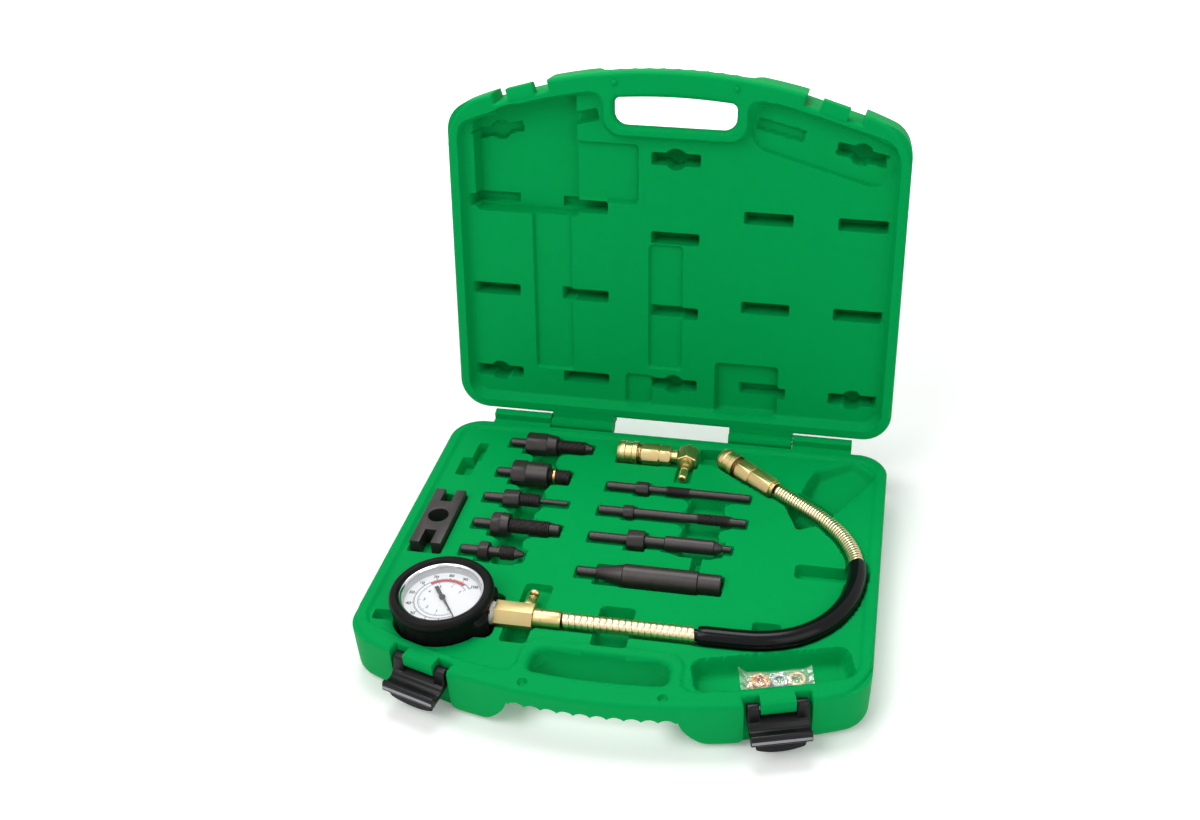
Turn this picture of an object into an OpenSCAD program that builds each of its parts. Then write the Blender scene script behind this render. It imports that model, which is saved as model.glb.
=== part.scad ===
// Compression tester kit for diesel engines: gauge with hose, adapters and a moulded carrying case.
// Millimetres. The origin is the middle of the case's underside, X runs to the right, Y towards the hinge.

/* [Case] */
// Width of the case
case_w = 370; // [350:1:400]
// Depth of the case, from the hinge edge to the middle of the front edge
case_d = 302; // [296:1:330]
// Height of the base, from its underside to the parting face
base_h = 42; // [40:0.5:50]
// Thickness of the lid
lid_h = 36; // [34:0.5:44]
// Radius of the bowed front edge
front_r = 440; // [400:5:520]
// Radius of the front corners in plan
front_corner_r = 26; // [20:1:32]
// Radius of the back corners in plan
back_corner_r = 24; // [16:1:32]
// Rounding of the long outer edges
shell_round = 9; // [6:0.5:11]
// Draft of the outer walls from the parting face to the rounding
wall_draft = 1.2; // [0.5:0.1:2.5]
// Width of the flat rim at the sides and the back
rim_w = 8; // [6:0.5:10]
// Width of the flat rim along the front
front_rim_w = 13; // [12:0.5:15]
// Step from the rim down to the tray
tray_step = 2; // [1:0.25:3]
// Step from the lid's rim to its inner panel
panel_step = 8.5; // [8.5:0.25:10]
// Angle of the open lid from closed
lid_open = 98; // [90:1:110]

/* [Carrying handle] */
// Half width of the hand hole
grip_half_w = 48.5; // [44:0.5:54]
// Width of the grip bar in plan
grip_bar_w = 20.5; // [18:0.5:22]
// Width of the hand hole in plan
grip_hole_h = 23.5; // [22:0.5:26]
// Height of each half of the grip bar
grip_bar_h = 16; // [13:0.5:18]
// Number of finger scallops
grip_scallops = 10; // [6:1:12]
// Spacing of the finger scallops
scallop_pitch = 11.5; // [10:0.5:12]
// Radius of a finger scallop
scallop_r = 7.5; // [6.5:0.25:9]

/* [Hinges] */
// Distance from the back wall to the hinge axis
hinge_offset = 7.5; // [7.5:0.25:10]
// Radius of the hinge knuckles
knuckle_r = 6.5; // [5:0.25:6.5]
// Radius of the hinge pins
hinge_pin_r = 2; // [1.5:0.1:2.5]
// Distance from the middle to the joint between lid knuckle and base knuckle
hinge_split_x = 104; // [98:1:110]
// Length of one knuckle
knuckle_len = 50; // [40:1:54]

/* [Latches] */
// Distance of each latch from the middle
latch_x = 125; // [120:1:130]
// Width of the latch
latch_w = 42; // [40:0.5:44]
// Width of the moulded tab that the latch straddles
latch_tab_w = 22; // [18:0.5:23]
// Depth of the latch recess
latch_recess = 9; // [8.5:0.25:10]
// Distance of the latch pin below the parting face
latch_pin_drop = 8; // [7:0.5:9]
// Radius of the latch pins
latch_pin_r = 1.5; // [1.2:0.1:2]
// Height of the lid's catch tab above the parting face
catch_h = 9; // [8:0.5:10]
// Length of the latch plate from its pin
latch_len = 24; // [23:0.5:27]
// Reach of the finger flap
flap_reach = 14; // [10:0.5:16]
// Angle between the hanging latch and the closed one
latch_open = 110; // [95:1:112]

/* [Gauge] */
// Radius of the boot's rim
boot_rim_r = 38; // [37:0.5:40]
// Radius of the boot below its rim
boot_r = 36; // [35:0.5:36.5]
// Height of the boot
boot_h = 35.5; // [34:0.5:37]
// Radius of the steel gauge case
gauge_r = 32.6; // [31:0.2:33]
// Sheet thickness of the gauge case
gauge_wall = 0.9; // [0.6:0.1:1.2]
// Thickness of the lens
lens_t = 1.6; // [1:0.1:2]
// Radius of the dial
dial_r = 30.6; // [29:0.2:31]
// Length of the pointer from its hub to its tip
pointer_len = 23; // [18:0.5:26]
// Direction of the pointer at zero pressure
pointer_zero = -52; // [-70:1:-40]
// Teeth of the pinion on the pointer's arbor
pinion_teeth = 8; // [8:1:12]
// Teeth that a full circle of the sector gear would have
sector_teeth = 80; // [60:1:100]
// Tooth pitch of the movement along the pitch circle
tooth_pitch = 0.864; // [0.8:0.01:0.92]
// Radius of the Bourdon tube's bend
bourdon_r = 24; // [22:0.5:25.5]

/* [Hose and coupler] */
// Across flats of the valve block
block_af = 17; // [15:0.5:19]
// Length of the valve block
block_len = 28; // [26:0.5:30]
// Radius of the inner hose
hose_r = 4.4; // [3.8:0.1:4.6]
// Radius of the black outer cover
cover_r = 7.2; // [6.4:0.1:7.6]
// Radius of the spring guards to the middle of the wire
guard_r = 5.4; // [5.3:0.1:5.8]
// Turns of the spring guard at the gauge
guard_turns = 20; // [12:1:22]
// Turns of the spring guard at the coupler
fine_guard_turns = 40; // [20:1:44]
// Diameter of the plug nipple on every adapter
nipple_d = 7; // [6:0.1:8]
// Radial clearance of the coupler's socket around a nipple
socket_clear = 0.05; // [0.02:0.01:0.1]
// Radius of the coupler's sliding sleeve
sleeve_r = 9.5; // [9.3:0.1:10.2]
// Travel of the sliding sleeve
sleeve_travel = 3; // [2:0.25:3]
// Travel of the release valve's button
button_travel = 2; // [1:0.25:2]

/* [Fits] */
// Clearance at the sides and ends of a moulded pocket
pocket_clear = 1.2; // [0.8:0.1:1.5]
// Gap that tabs and knuckles keep from the parting face
parting_gap = 0.15; // [0.05:0.05:0.3]
// Gap between the two halves of the closed case
closing_gap = 0.1; // [0.05:0.05:0.3]
// Radius of the upright corners of a moulded pocket
pocket_round = 1.5; // [0.8:0.1:2]
// Gap between a lying tool and the floor of its pocket
seat_gap = 0.3; // [0.2:0.05:0.5]
// Radial running clearance of pins and sleeves
run_clear = 0.05; // [0.02:0.01:0.09]

/* [Hidden] */
$fn = 64;

// Heights and places that follow from the driving sizes
tray_z = base_h - tray_step;
panel_z = base_h + panel_step;
back_y = case_d / 2;
front_y = -case_d / 2;
arc_y = front_y + front_r;
hinge_y = back_y + hinge_offset;
hinge_z = base_h;
tool_z = tray_z;
tester_z = base_h + 0.5;
above = 40;
eps = 0.02;
// The layout of the tray is drawn for a case of this width and depth, and spreads with the case
layout_w = 370;
layout_d = 302;
function lx(x) = x * case_w / layout_w;
function ly(y) = y * case_d / layout_d;

// Outline of the case in plan, set in by s: bowed front, straight sides, round corners
corner_x = case_w / 2 - front_corner_r;
corner_y = arc_y - sqrt(pow(front_r - front_corner_r, 2) - corner_x * corner_x);
bow_end = atan2(corner_y - arc_y, corner_x);
rear_x = case_w / 2 - back_corner_r;
rear_y = back_y - back_corner_r;
function arc(x, y, r, a0, a1, n) = [for (i = [0 : n]) let (a = a0 + (a1 - a0) * i / n) [x + r * cos(a),
    y + r * sin(a)]];
function half_outline(s) = concat(
    arc(0, arc_y, front_r - s, -90, bow_end, 8),
    [for (p = arc(corner_x, corner_y, front_corner_r - s, bow_end, 0, 5)) if (p[0] > corner_x) p],
    arc(rear_x, rear_y, back_corner_r - s, 0, 90, 5));
function mirrored(points) = [for (i = [len(points) - 1 : -1 : 1]) [-points[i][0], points[i][1]]];
function outline(s) = let (h = unrepeated(half_outline(s))) concat(h, mirrored(h));
function unrepeated(p) = [for (i = [0 : len(p) - 1]) if (i == 0 || norm(p[i] - p[max(0, i - 1)]) > 0.01)
    p[i]];

// Sweeps of round or flat wire: rings of a cross-section placed on frames [centre, e1, e2]
function oval(w, t, n) = [for (k = [0 : n - 1]) [w / 2 * cos(360 * k / n), t / 2 * sin(360 * k / n)]];
function ring_points(frames, shape) = [for (f = frames) for (s = shape) f[0] + s[0] * f[1] + s[1] * f[2]];
function side_faces(rings, n) = [for (i = [0 : rings - 2]) for (k = [0 : n - 1]) for (half = [0, 1])
    let (a = i * n + k, b = i * n + (k + 1) % n) half == 0 ? [a, b, b + n] : [a, b + n, a + n]];
function cap_faces(first, n, turn) = [for (k = [1 : n - 2])
    turn ? [first, first + k + 1, first + k] : [first, first + k, first + k + 1]];
module sweep(frames, shape) {
    n = len(shape);
    rings = len(frames);
    polyhedron(ring_points(frames, shape),
        concat(side_faces(rings, n), cap_faces(0, n, true), cap_faces((rings - 1) * n, n, false)));
}

// Hollow tube: outer rings, then inner rings, closed by a flat annulus at each end
function annulus(a, b, n, turn) = [for (k = [0 : n - 1]) for (half = [0, 1]) let (m = (k + 1) % n,
    f = half == 0 ? [a + k, b + k, b + m] : [a + k, b + m, a + m]) turn ? [f[0], f[2], f[1]] : f];
function turned_in(faces, first) = [for (f = faces) [f[0] + first, f[2] + first, f[1] + first]];
module pipe_sweep(frames, d_out, d_in, n) {
    rings = len(frames);
    inner = rings * n;
    last = (rings - 1) * n;
    polyhedron(concat(ring_points(frames, oval(d_out, d_out, n)), ring_points(frames, oval(d_in, d_in, n))),
        concat(side_faces(rings, n), turned_in(side_faces(rings, n), inner), annulus(0, inner, n, false),
            annulus(last, inner + last, n, true)));
}

// Smooth curve through a list of points, u counts points
function spline(p, u) = let (i = min(floor(u), len(p) - 2), t = u - i,
    b = p[i], c = p[i + 1], a = i > 0 ? p[i - 1] : 2 * b - c, d = i + 2 < len(p) ? p[i + 2] : 2 * c - b)
    0.5 * (2 * b + (c - a) * t + (2 * a - 5 * b + 4 * c - d) * t * t + (3 * b - a - 3 * c + d) * t * t * t);
function heading(p, u) = let (d = spline(p, min(u + 0.02, len(p) - 1)) - spline(p, max(u - 0.02, 0)))
    d / norm(d);

// Route of the hose in plan: from the ferrule at the gauge to the ferrule at the coupler
route_points = [[-36, -80], [-3, -80], [30, -80], [62, -80], [95, -79.5], [108.5, -78], [120, -75],
    [130.5, -70.5], [140, -64], [148.5, -56], [155.5, -46.5], [161, -36], [165, -25], [167.5, -13],
        [168.5, -1],
    [167.5, 11], [164.5, 23], [159.5, 34], [153, 44], [145, 53.5], [136, 62], [126.8, 69.4], [117.2, 76.6],
    [107.6, 83.8], [98, 91]];
hose_route = [for (p = route_points) [lx(p[0]), ly(p[1])]];
guard_from = hose_route[0][0];
cover_last = 15;
hose_last = len(hose_route) - 1;
function hose_frame(p) = let (t = p[1]) [[p[0][0], p[0][1], tester_z], [-t[1], t[0], 0], [0, 0, 1]];
function hose_frames(u0, u1, n) = [for (i = [0 : n]) let (u = u0 + (u1 - u0) * i / n)
    hose_frame([spline(hose_route, u), heading(hose_route, u)])];

// Helix around a stretch of the route; the ends run level for a short way
function helix_frame(p, t, phi, r, lead) = let (nrm = [-t[1], t[0], 0], up = [0, 0, 1],
    out = cos(phi) * nrm + sin(phi) * up, along = [t[0], t[1], 0],
    wire = r * (cos(phi) * up - sin(phi) * nrm) + lead / 360 * 57.29578 * along)
    [[p[0], p[1], tester_z] + r * out, out, cross(wire / norm(wire), out)];
function least_gap(frames, per_turn, wire) = min([for (i = [0 : len(frames) - per_turn - 2])
    for (j = [-1 : 1])
    norm(frames[i + per_turn + j][0] - frames[i][0])]) - wire;

// Places of the tools: left end of each adapter's nipple and place of its axis in plan
left_column_x = lx(-131);
right_column_x = lx(-38);
// Each segment: length, diameter at its left end, diameter at its right end, 1 for a hexagon
function nipple(l) = [l, nipple_d, nipple_d, 0];
adapter_list = [
    [left_column_x, ly(126), [nipple(14), [18, 17, 17, 1], [8, 18, 16, 0], [24, 11, 11, 0], [6, 8, 6, 0]]],
    [left_column_x, ly(85), [nipple(13), [12, 19, 19, 1], [18, 20, 20, 0], [17, 12, 12, 0]]],
    [left_column_x - 1, ly(51.5), [nipple(16), [13, 13, 13, 1], [16, 11, 11, 0], [23, 4, 4, 0]]],
    [left_column_x, ly(19), [nipple(15), [7.5, 17, 17, 1], [6.5, 19.5, 18, 0], [31.5, 12, 12, 0], [8, 9,
        9, 0]]],
    [left_column_x, ly(-13), [nipple(14), [7.5, 13, 13, 1], [9, 8, 8, 0], [11, 11, 11, 0], [7, 9, 4, 0]]],
    [right_column_x, ly(80), [nipple(24), [10, 10, 10, 1], [15, 6, 6, 0], [18, 8, 8, 0], [49, 6.4, 6.4, 0]]],
    [right_column_x, ly(49), [nipple(20), [8, 10, 10, 1], [51, 7.6, 7.6, 0], [25, 9, 9, 0], [13, 6.4, 6.4,
        0]]],
    [right_column_x, ly(16.5), [nipple(30), [13, 14, 14, 1], [16, 8.4, 8.4, 0], [38, 11.6, 11.6, 0],
        [6, 11, 6, 0], [7, 5, 5, 0]]],
    [right_column_x, ly(-24), [nipple(15), [20, 9, 16, 0], [56, 17.4, 17.4, 0], [17, 15, 15, 0]]]];
function adapter_y(k) = adapter_list[k - 1][1];
function seg_reach(s) = s[3] == 1 ? s[1] / 2 : max(s[1], s[2]) / 2;
function seg_half_w(s) = s[3] == 1 ? s[1] / 2 / cos(30) : max(s[1], s[2]) / 2;
function seg_start(list, i) = i == 0 ? 0 : seg_start(list, i - 1) + list[i - 1][0];
hex_relief = 0.4;
function tool_profile(list) = concat([[0, 0]],
    [for (i = [0 : len(list) - 1]) for (end = [0, 1]) let (s = list[i])
        [s[1 + end] / 2 - (s[3] == 1 ? hex_relief : 0), seg_start(list, i) + end * s[0]]],
    [[0, seg_start(list, len(list))]]);

clamp_x = lx(-158.5);
clamp_y = ly(15.5);
clamp_w = 24.5;
clamp_l = 65;
clamp_t = 14;
clamp_bore_r = 8;
clamp_slot_w = 9;
clamp_slot_l = 15;
clamp_z = tray_z - 8;
elbow_x = lx(20.5);
elbow_y = ly(124);
elbow_z = base_h;
elbow_w = 17;
elbow_t = 15;
elbow_reach = 30;
elbow_tail = 15;
spare_x = lx(-155.5);
spare_y = ly(97);

gauge_x = lx(-123);
gauge_y = ly(-80);
boot_z = tester_z + 16 - boot_h;
boot_floor = 2.5;
boot_lip = 1.1;
gauge_z0 = boot_z + boot_floor;
gauge_top = boot_z + boot_h - boot_lip - lens_t - 0.9;
dial_z = gauge_top - 5.4;
dial_t = 0.6;
stem_half = 6.5;
stem_r = 6.5;
stem_from = gauge_x + 24;
tape_from = gauge_x + boot_r + 0.5;
tape_len = 2.5;
block_from = tape_from + tape_len;
block_to = block_from + block_len;
ferrule_r = 6.6;
valve_x = block_to - 6;
valve_y = gauge_y + block_af / 2;
valve_shank_r = 3;
movement_half_t = 4.5;
plate_t = 1.2;
arbor_r = 0.8;
pinion_r = pinion_teeth * tooth_pitch / (2 * PI);
sector_r = sector_teeth * tooth_pitch / (2 * PI);
sector_x = -(pinion_r + sector_r);
tail_len = 7;

bag_x = lx(120);
bag_y = ly(-101);
bag_turn = 14;
bag_l = 46;
bag_w = 17;
bag_t = 7;
washer_tray_x = lx(117);
washer_tray_y = ly(-99.5);
washer_tray_turn = 15.5;
washer_tray_l = 112;
washer_tray_w = 28;
washer_tray_z = tray_z - 14;

coupler_from = hose_route[hose_last];
coupler_run = coupler_from - hose_route[hose_last - 1];
coupler_dir = atan2(coupler_run[1], coupler_run[0]);
socket_r = nipple_d / 2 + socket_clear;
socket_l = 16;
barrel_r = sleeve_r - 2.4;
sleeve_from = 43.5;
coupler_l = 60;
nut_from = 25;
nut_to = sleeve_from - sleeve_travel - 0.4;
coil_wire = 0.7;

// Shared shapes
module rod_x(x0, x1, r) translate([x0, 0, 0]) rotate([0, 90, 0]) cylinder(r = r, h = x1 - x0);
module hex_x(x0, x1, af) translate([x0, 0, 0]) rotate([0, 90, 0]) rotate(30) cylinder(d = af / cos(30),
    h = x1 - x0, $fn = 6);
module spin_x(profile) rotate([0, 90, 0]) rotate_extrude() polygon(profile);
module slot_2d(l, w) {
    square([l - w, w], center = true);
    for (side = [-1, 1]) translate([side * (l - w) / 2, 0]) circle(d = w);
}
module round_rect(l, w, r) {
    square([l, w - 2 * r], center = true);
    square([l - 2 * r, w], center = true);
    for (sx = [-1, 1]) for (sy = [-1, 1]) translate([sx * (l / 2 - r), sy * (w / 2 - r)]) circle(r);
}
module cut_box(x0, x1, y0, y1, z0) {
    translate([(x0 + x1) / 2, (y0 + y1) / 2, z0]) linear_extrude(above) round_rect(x1 - x0, y1 - y0,
        pocket_round);
}
module at_gauge() translate([gauge_x, gauge_y, 0]) children();
module at_tester_axis() translate([0, gauge_y, tester_z]) children();
module at_coupler() translate([coupler_from[0], coupler_from[1], tester_z]) rotate(coupler_dir) children();
module at_elbow() translate([elbow_x - elbow_w / 2, elbow_y, elbow_z]) rotate(180) children();
module at_latch(side) {
    turn = asin(latch_x / front_r);
    translate([side * latch_x, arc_y - front_r * cos(turn), 0]) rotate(side * turn) children();
}
module lid_turned() translate([0, hinge_y, hinge_z]) rotate([-lid_open, 0, 0]) translate([0, -hinge_y,
    -hinge_z]) children();

// Outer form of one half of the case, standing on z = 0 with its parting face at z = h
module shell(h) {
    steps = 4;
    difference() {
        hull() {
            for (k = [0 : steps]) {
                a = 90 * k / steps;
                translate([0, 0, shell_round * (1 - cos(a))])
                    linear_extrude(eps) polygon(outline(wall_draft + shell_round * (1 - sin(a))));
            }
            translate([0, 0, h]) linear_extrude(1) polygon(outline(0));
        }
        translate([-case_w, -case_d, h]) cube([2 * case_w, 2 * case_d, above]);
    }
}

// Hand hole of the carrying handle in plan
grip_y0 = front_y + grip_bar_w;
grip_y1 = grip_y0 + grip_hole_h;
grip_end_r = (grip_hole_h - 3.5) / 2;
module grip_hole_2d() {
    translate([0, grip_y1 - grip_end_r]) slot_2d(2 * grip_half_w, 2 * grip_end_r);
    intersection() {
        translate([0, arc_y]) circle(front_r - grip_bar_w, $fn = 360);
        translate([-grip_half_w + grip_end_r, grip_y0 - 5]) square([2 * (grip_half_w - grip_end_r),
            grip_hole_h - 2]);
    }
}
// Space under one half of the grip bar: the hand hole, the cleared underside and the scallops.
// The parting face is at z = h
module grip_cut(h) {
    bar_z = h - grip_bar_h;
    side = grip_half_w + 13;
    slant = 14;
    translate([0, 0, -above]) linear_extrude(h + 2 * above) grip_hole_2d();
    translate([0, grip_y1, 0]) rotate([90, 0, 0]) linear_extrude(grip_y1 - front_y + above)
        polygon([[-side - slant, -1], [side + slant, -1], [side, bar_z], [-side, bar_z]]);
    for (i = [0 : grip_scallops - 1])
        translate([(i - (grip_scallops - 1) / 2) * scallop_pitch, front_y - 1, bar_z - 5])
            rotate([-90, 0, 0]) cylinder(r = scallop_r, h = grip_bar_w + 2);
}
peg_x = 48;
peg_y = front_y + grip_bar_w / 2;
peg_r = 2;
peg_h = 1.8;

// Floor area inside the rim, in plan
module inside_rim() {
    difference() {
        intersection() {
            polygon(outline(rim_w));
            translate([0, arc_y]) circle(front_r - front_rim_w, $fn = 360);
        }
        translate([0, grip_y1 - grip_end_r - 4]) round_rect(2 * grip_half_w + 16, 2 * grip_end_r + 24, 12);
    }
}

// Latch recess, and the tab in it: z0 and z1 are its lower and upper end
module latch_recess_cut(z0, z1) translate([-latch_w / 2 - 2.5, -above, z0]) cube([latch_w + 5,
    above + latch_recess, z1 - z0]);
pivot_in = latch_recess / 2;
pivot_z = base_h - latch_pin_drop;

// Knuckle of one hinge: from x0 to x1, block on the side given by up (1 above the parting face, -1 below)
module knuckle(x0, x1, up) {
    translate([0, hinge_y, hinge_z]) rod_x(x0, x1, knuckle_r);
    block_h = 2 * knuckle_r;
    translate([x0, back_y - rim_w, hinge_z + (up < 0 ? -block_h : parting_gap)])
        cube([x1 - x0, hinge_offset + rim_w, block_h - parting_gap]);
}
module hinge_bore() translate([0, hinge_y, hinge_z]) rod_x(-case_w, case_w, hinge_pin_r + run_clear);

// Pockets of the tray
module tool_pocket(t) {
    list = t[2];
    for (i = [0 : len(list) - 1]) {
        s = list[i];
        x0 = t[0] + seg_start(list, i) - pocket_clear;
        half = seg_half_w(s) + pocket_clear;
        cut_box(x0, x0 + s[0] + 2 * pocket_clear, t[1] - half, t[1] + half, tool_z - seg_reach(s) - seat_gap);
    }
}
module ring_pocket() {
    x0 = adapter_list[1][0] + ring_at_x - pocket_clear;
    half = ring_r + pocket_clear;
    cut_box(x0, x0 + ring_t + 2 * pocket_clear, adapter_y(2) - half, adapter_y(2) + half,
        tool_z - ring_r - seat_gap);
}
// Channel of the hose: stations along its route with the half width there, wider around the black cover
guard_half = guard_r + 1 + pocket_clear;
cover_half = cover_r + pocket_clear;
channel_stations = concat([[0, guard_half], [2.97, guard_half]], [for (i = [3 : cover_last]) [i, cover_half]],
    [[cover_last + 0.12, guard_half]], [for (i = [cover_last + 1 : hose_last]) [i, guard_half]]);
function channel_side(side) = [for (q = channel_stations) let (t = heading(hose_route, q[0]))
    spline(hose_route, q[0]) + side * q[1] * [-t[1], t[0]]];
module hose_channel() {
    far = channel_side(-1);
    back = [for (i = [len(far) - 1 : -1 : 0]) far[i]];
    translate([0, 0, tester_z - cover_r - seat_gap]) linear_extrude(above) polygon(concat(channel_side(1),
        back));
}
finger_z = tray_z - 14;
module finger_scoops() {
    left_scoop = left_column_x + 24;
    right_scoop = right_column_x + 69;
    notch = right_column_x + 82;
    cut_box(left_scoop, left_scoop + 20, adapter_y(5) - 12, adapter_y(1), finger_z);
    cut_box(right_scoop, right_scoop + 29, adapter_y(8) - 12.5, adapter_y(6), finger_z + 2);
    cut_box(notch, notch + 8, adapter_y(9) + 4, adapter_y(8) - 8.5, finger_z + 4);
    cut_box(lx(122), lx(178), ly(-8), ly(8), tray_z - 9);
    cut_box(lx(-12), lx(14), gauge_y - 20, gauge_y + 22, tray_z - 11);
    cut_box(lx(98), lx(119), gauge_y + 4, gauge_y + 22, tray_z - 7);
    cut_box(block_from + 8, block_to, gauge_y - 24, gauge_y, finger_z);
    cut_box(gauge_x - 49, gauge_x - 27, gauge_y - 16, gauge_y - 6, tray_z - 8);
    cut_box(elbow_x + elbow_w / 2, coupler_from[0] - 46, elbow_y - 5, elbow_y + 16, tray_z - 9);
}
// Trough in the back corner: it runs on under the hose, and its floor rises towards the corner
trough_points = [[105, 78], [119, 47], [140, 58], [147, 70], [177, 124], [158, 142], [127, 127], [117, 95]];
module corner_recess() {
    floor_pitch = 11;
    intersection() {
        translate([0, 0, tray_z - 28]) linear_extrude(above + 28)
            polygon([for (p = trough_points) [lx(p[0]), ly(p[1])]]);
        translate([lx(119), ly(47), tray_z - 26]) rotate(61) rotate([0, -floor_pitch, 0])
            translate([-40, -80, 0]) cube([200, 160, 80]);
    }
}
module tester_pockets() {
    at_gauge() translate([0, 0, boot_z - seat_gap]) cylinder(r = boot_r + pocket_clear, h = above + boot_h);
    half = block_af / cos(30) / 2 + pocket_clear;
    cut_box(gauge_x + 20, block_to + pocket_clear, gauge_y - half, gauge_y + half,
        tester_z - block_af / 2 - seat_gap);
    cut_box(block_to - 1, guard_from + 1, gauge_y - ferrule_r - pocket_clear,
        gauge_y + ferrule_r + pocket_clear,
        tester_z - ferrule_r - seat_gap);
    hose_channel();
    cut_box(valve_x - 10, valve_x + 11, gauge_y, gauge_y + 37, tester_z - 8);
    at_coupler() {
        coupler_pocket(coupler_l);
        translate([0, 0, -7.5 - seat_gap]) cut_box(-2, nut_from + 2, -8.7 - pocket_clear,
            8.7 + pocket_clear, 0);
    }
}
module coupler_pocket(l) {
    wide = sleeve_r + pocket_clear;
    translate([0, 0, -sleeve_r - seat_gap]) cut_box(nut_from - 2, l + pocket_clear, -wide, wide, 0);
}
module elbow_pockets() {
    half = elbow_w / 2 + pocket_clear;
    on_elbow() coupler_pocket(coupler_l);
    at_elbow() translate([0, 0, -7.5 - seat_gap]) cut_box(-1, elbow_tail + 1, -8.7 - pocket_clear,
        8.7 + pocket_clear, 0);
    cut_box(elbow_x - half - 10, elbow_x + half, elbow_y - half, elbow_y + half,
        elbow_z - elbow_t / 2 - seat_gap);
    cut_box(elbow_x - 5 - pocket_clear, elbow_x + 5 + pocket_clear, elbow_y - elbow_reach - pocket_clear,
        elbow_y,
        elbow_z - 5 - seat_gap);
}
module clamp_pocket() {
    translate([clamp_x, clamp_y, clamp_z - seat_gap]) linear_extrude(above)
        square([clamp_w + 2 * pocket_clear, clamp_l + 2 * pocket_clear], center = true);
}
module spare_pocket() {
    cut_box(spare_x - 5, spare_x + 3, spare_y - 21, spare_y + 1, tray_z - 10);
    cut_box(spare_x - 1, spare_x + 5, spare_y - 2, spare_y + 21, tray_z - 8);
}
module washer_tray() {
    translate([washer_tray_x, washer_tray_y, washer_tray_z]) rotate(washer_tray_turn) linear_extrude(above)
        round_rect(washer_tray_l, washer_tray_w, 9);
}

module case_base() {
    color("#0B9A4B") difference() {
        union() {
            difference() {
                shell(base_h);
                for (side = [-1, 1]) at_latch(side) latch_recess_cut(-1, base_h + 1);
            }
            for (side = [-1, 1]) at_latch(side) base_latch_tab();
            for (side = [-1, 1]) mirror([side < 0 ? 1 : 0, 0, 0])
                knuckle(hinge_split_x + 0.4, hinge_split_x + knuckle_len, -1);
        }
        translate([0, 0, tray_z]) linear_extrude(above) inside_rim();
        grip_cut(base_h);
        for (t = adapter_list) tool_pocket(t);
        ring_pocket();
        finger_scoops();
        corner_recess();
        tester_pockets();
        elbow_pockets();
        clamp_pocket();
        spare_pocket();
        washer_tray();
        hinge_bore();
        for (side = [-1, 1]) {
            translate([side * peg_x, peg_y, base_h - peg_h - 0.5]) cylinder(r = peg_r + 0.3, h = above);
            at_latch(side) translate([0, pivot_in, pivot_z]) rod_x(-latch_w, latch_w,
                latch_pin_r + run_clear);
        }
    }
}
module base_latch_tab() {
    half = latch_tab_w / 2 + 1;
    translate([-half, 0, pivot_z]) cube([2 * half, latch_recess + 1, latch_pin_drop - parting_gap]);
    translate([0, pivot_in, pivot_z]) rod_x(-half, half, pivot_in);
}

// Lid in its closed place; kiss-off pockets hold its two walls together
kiss_l = 45;
kiss_w = 9;
kiss_disc = 18;
kiss_depth = 17;
kiss_x = lx(75.5);
kiss_rows = [32.5, 108.5, 186];
middle_rows = [33, 99, 164, 230.5];
front_turn = 13;
module kiss_pocket(x, v, turn, keyed) {
    translate([x, back_y - ly(v), panel_z - 1]) rotate(turn) linear_extrude(kiss_depth + 1) {
        slot_2d(kiss_l, kiss_w);
        if (keyed) circle(d = kiss_disc);
    }
}
module kiss_pockets() {
    for (side = [-1, 1]) {
        for (i = [0 : 2]) for (column = [1, 2])
            kiss_pocket(side * column * kiss_x, kiss_rows[i], 0, i == 0 && column == 2);
        kiss_pocket(side * lx(146), 243, side * front_turn, true);
        kiss_pocket(side * lx(82), 259, side * front_turn, false);
    }
    for (i = [0 : 3]) kiss_pocket(0, middle_rows[i], 0, i == 0 || i == 3);
}
gauge_relief = 20;
// Reliefs over the tools, each to a depth from the parting face
module lid_relief(x0, x1, y0, y1, depth) {
    translate([(x0 + x1) / 2, (y0 + y1) / 2, base_h - 1]) linear_extrude(depth + 1) round_rect(x1 - x0,
        y1 - y0, 4);
}
module lid_reliefs() {
    at_gauge() translate([0, 0, base_h - 1]) linear_extrude(gauge_relief + 1) {
        circle(boot_rim_r + 1.7);
        translate([0, 27]) round_rect(86, 54, 4);
    }
    lid_relief(gauge_x + 39, gauge_x + 93, gauge_y - 10, gauge_y + 40, 13);
    lid_relief(left_column_x + 12, left_column_x + 45, adapter_y(5) - 17, adapter_y(1) - 13, 11.5);
    lid_relief(right_column_x + 16, right_column_x + 45, adapter_y(9) + 17, elbow_y - 19, 11.5);
    lid_relief(elbow_x - 62, elbow_x - 38.5, elbow_y - 13, elbow_y + 16, 12);
    lid_relief(coupler_from[0] - 63, coupler_from[0] - 9, coupler_from[1] + 3, coupler_from[1] + 49.5, 15);
    translate([washer_tray_x, washer_tray_y, base_h - 1]) rotate(washer_tray_turn) linear_extrude(12.5)
        round_rect(washer_tray_l + 6, washer_tray_w + 14, 18);
}
module lid_latch_tab() {
    translate([-latch_tab_w / 2, 0, base_h + parting_gap])
        cube([latch_tab_w, latch_recess + 1, catch_h - parting_gap]);
}
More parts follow.
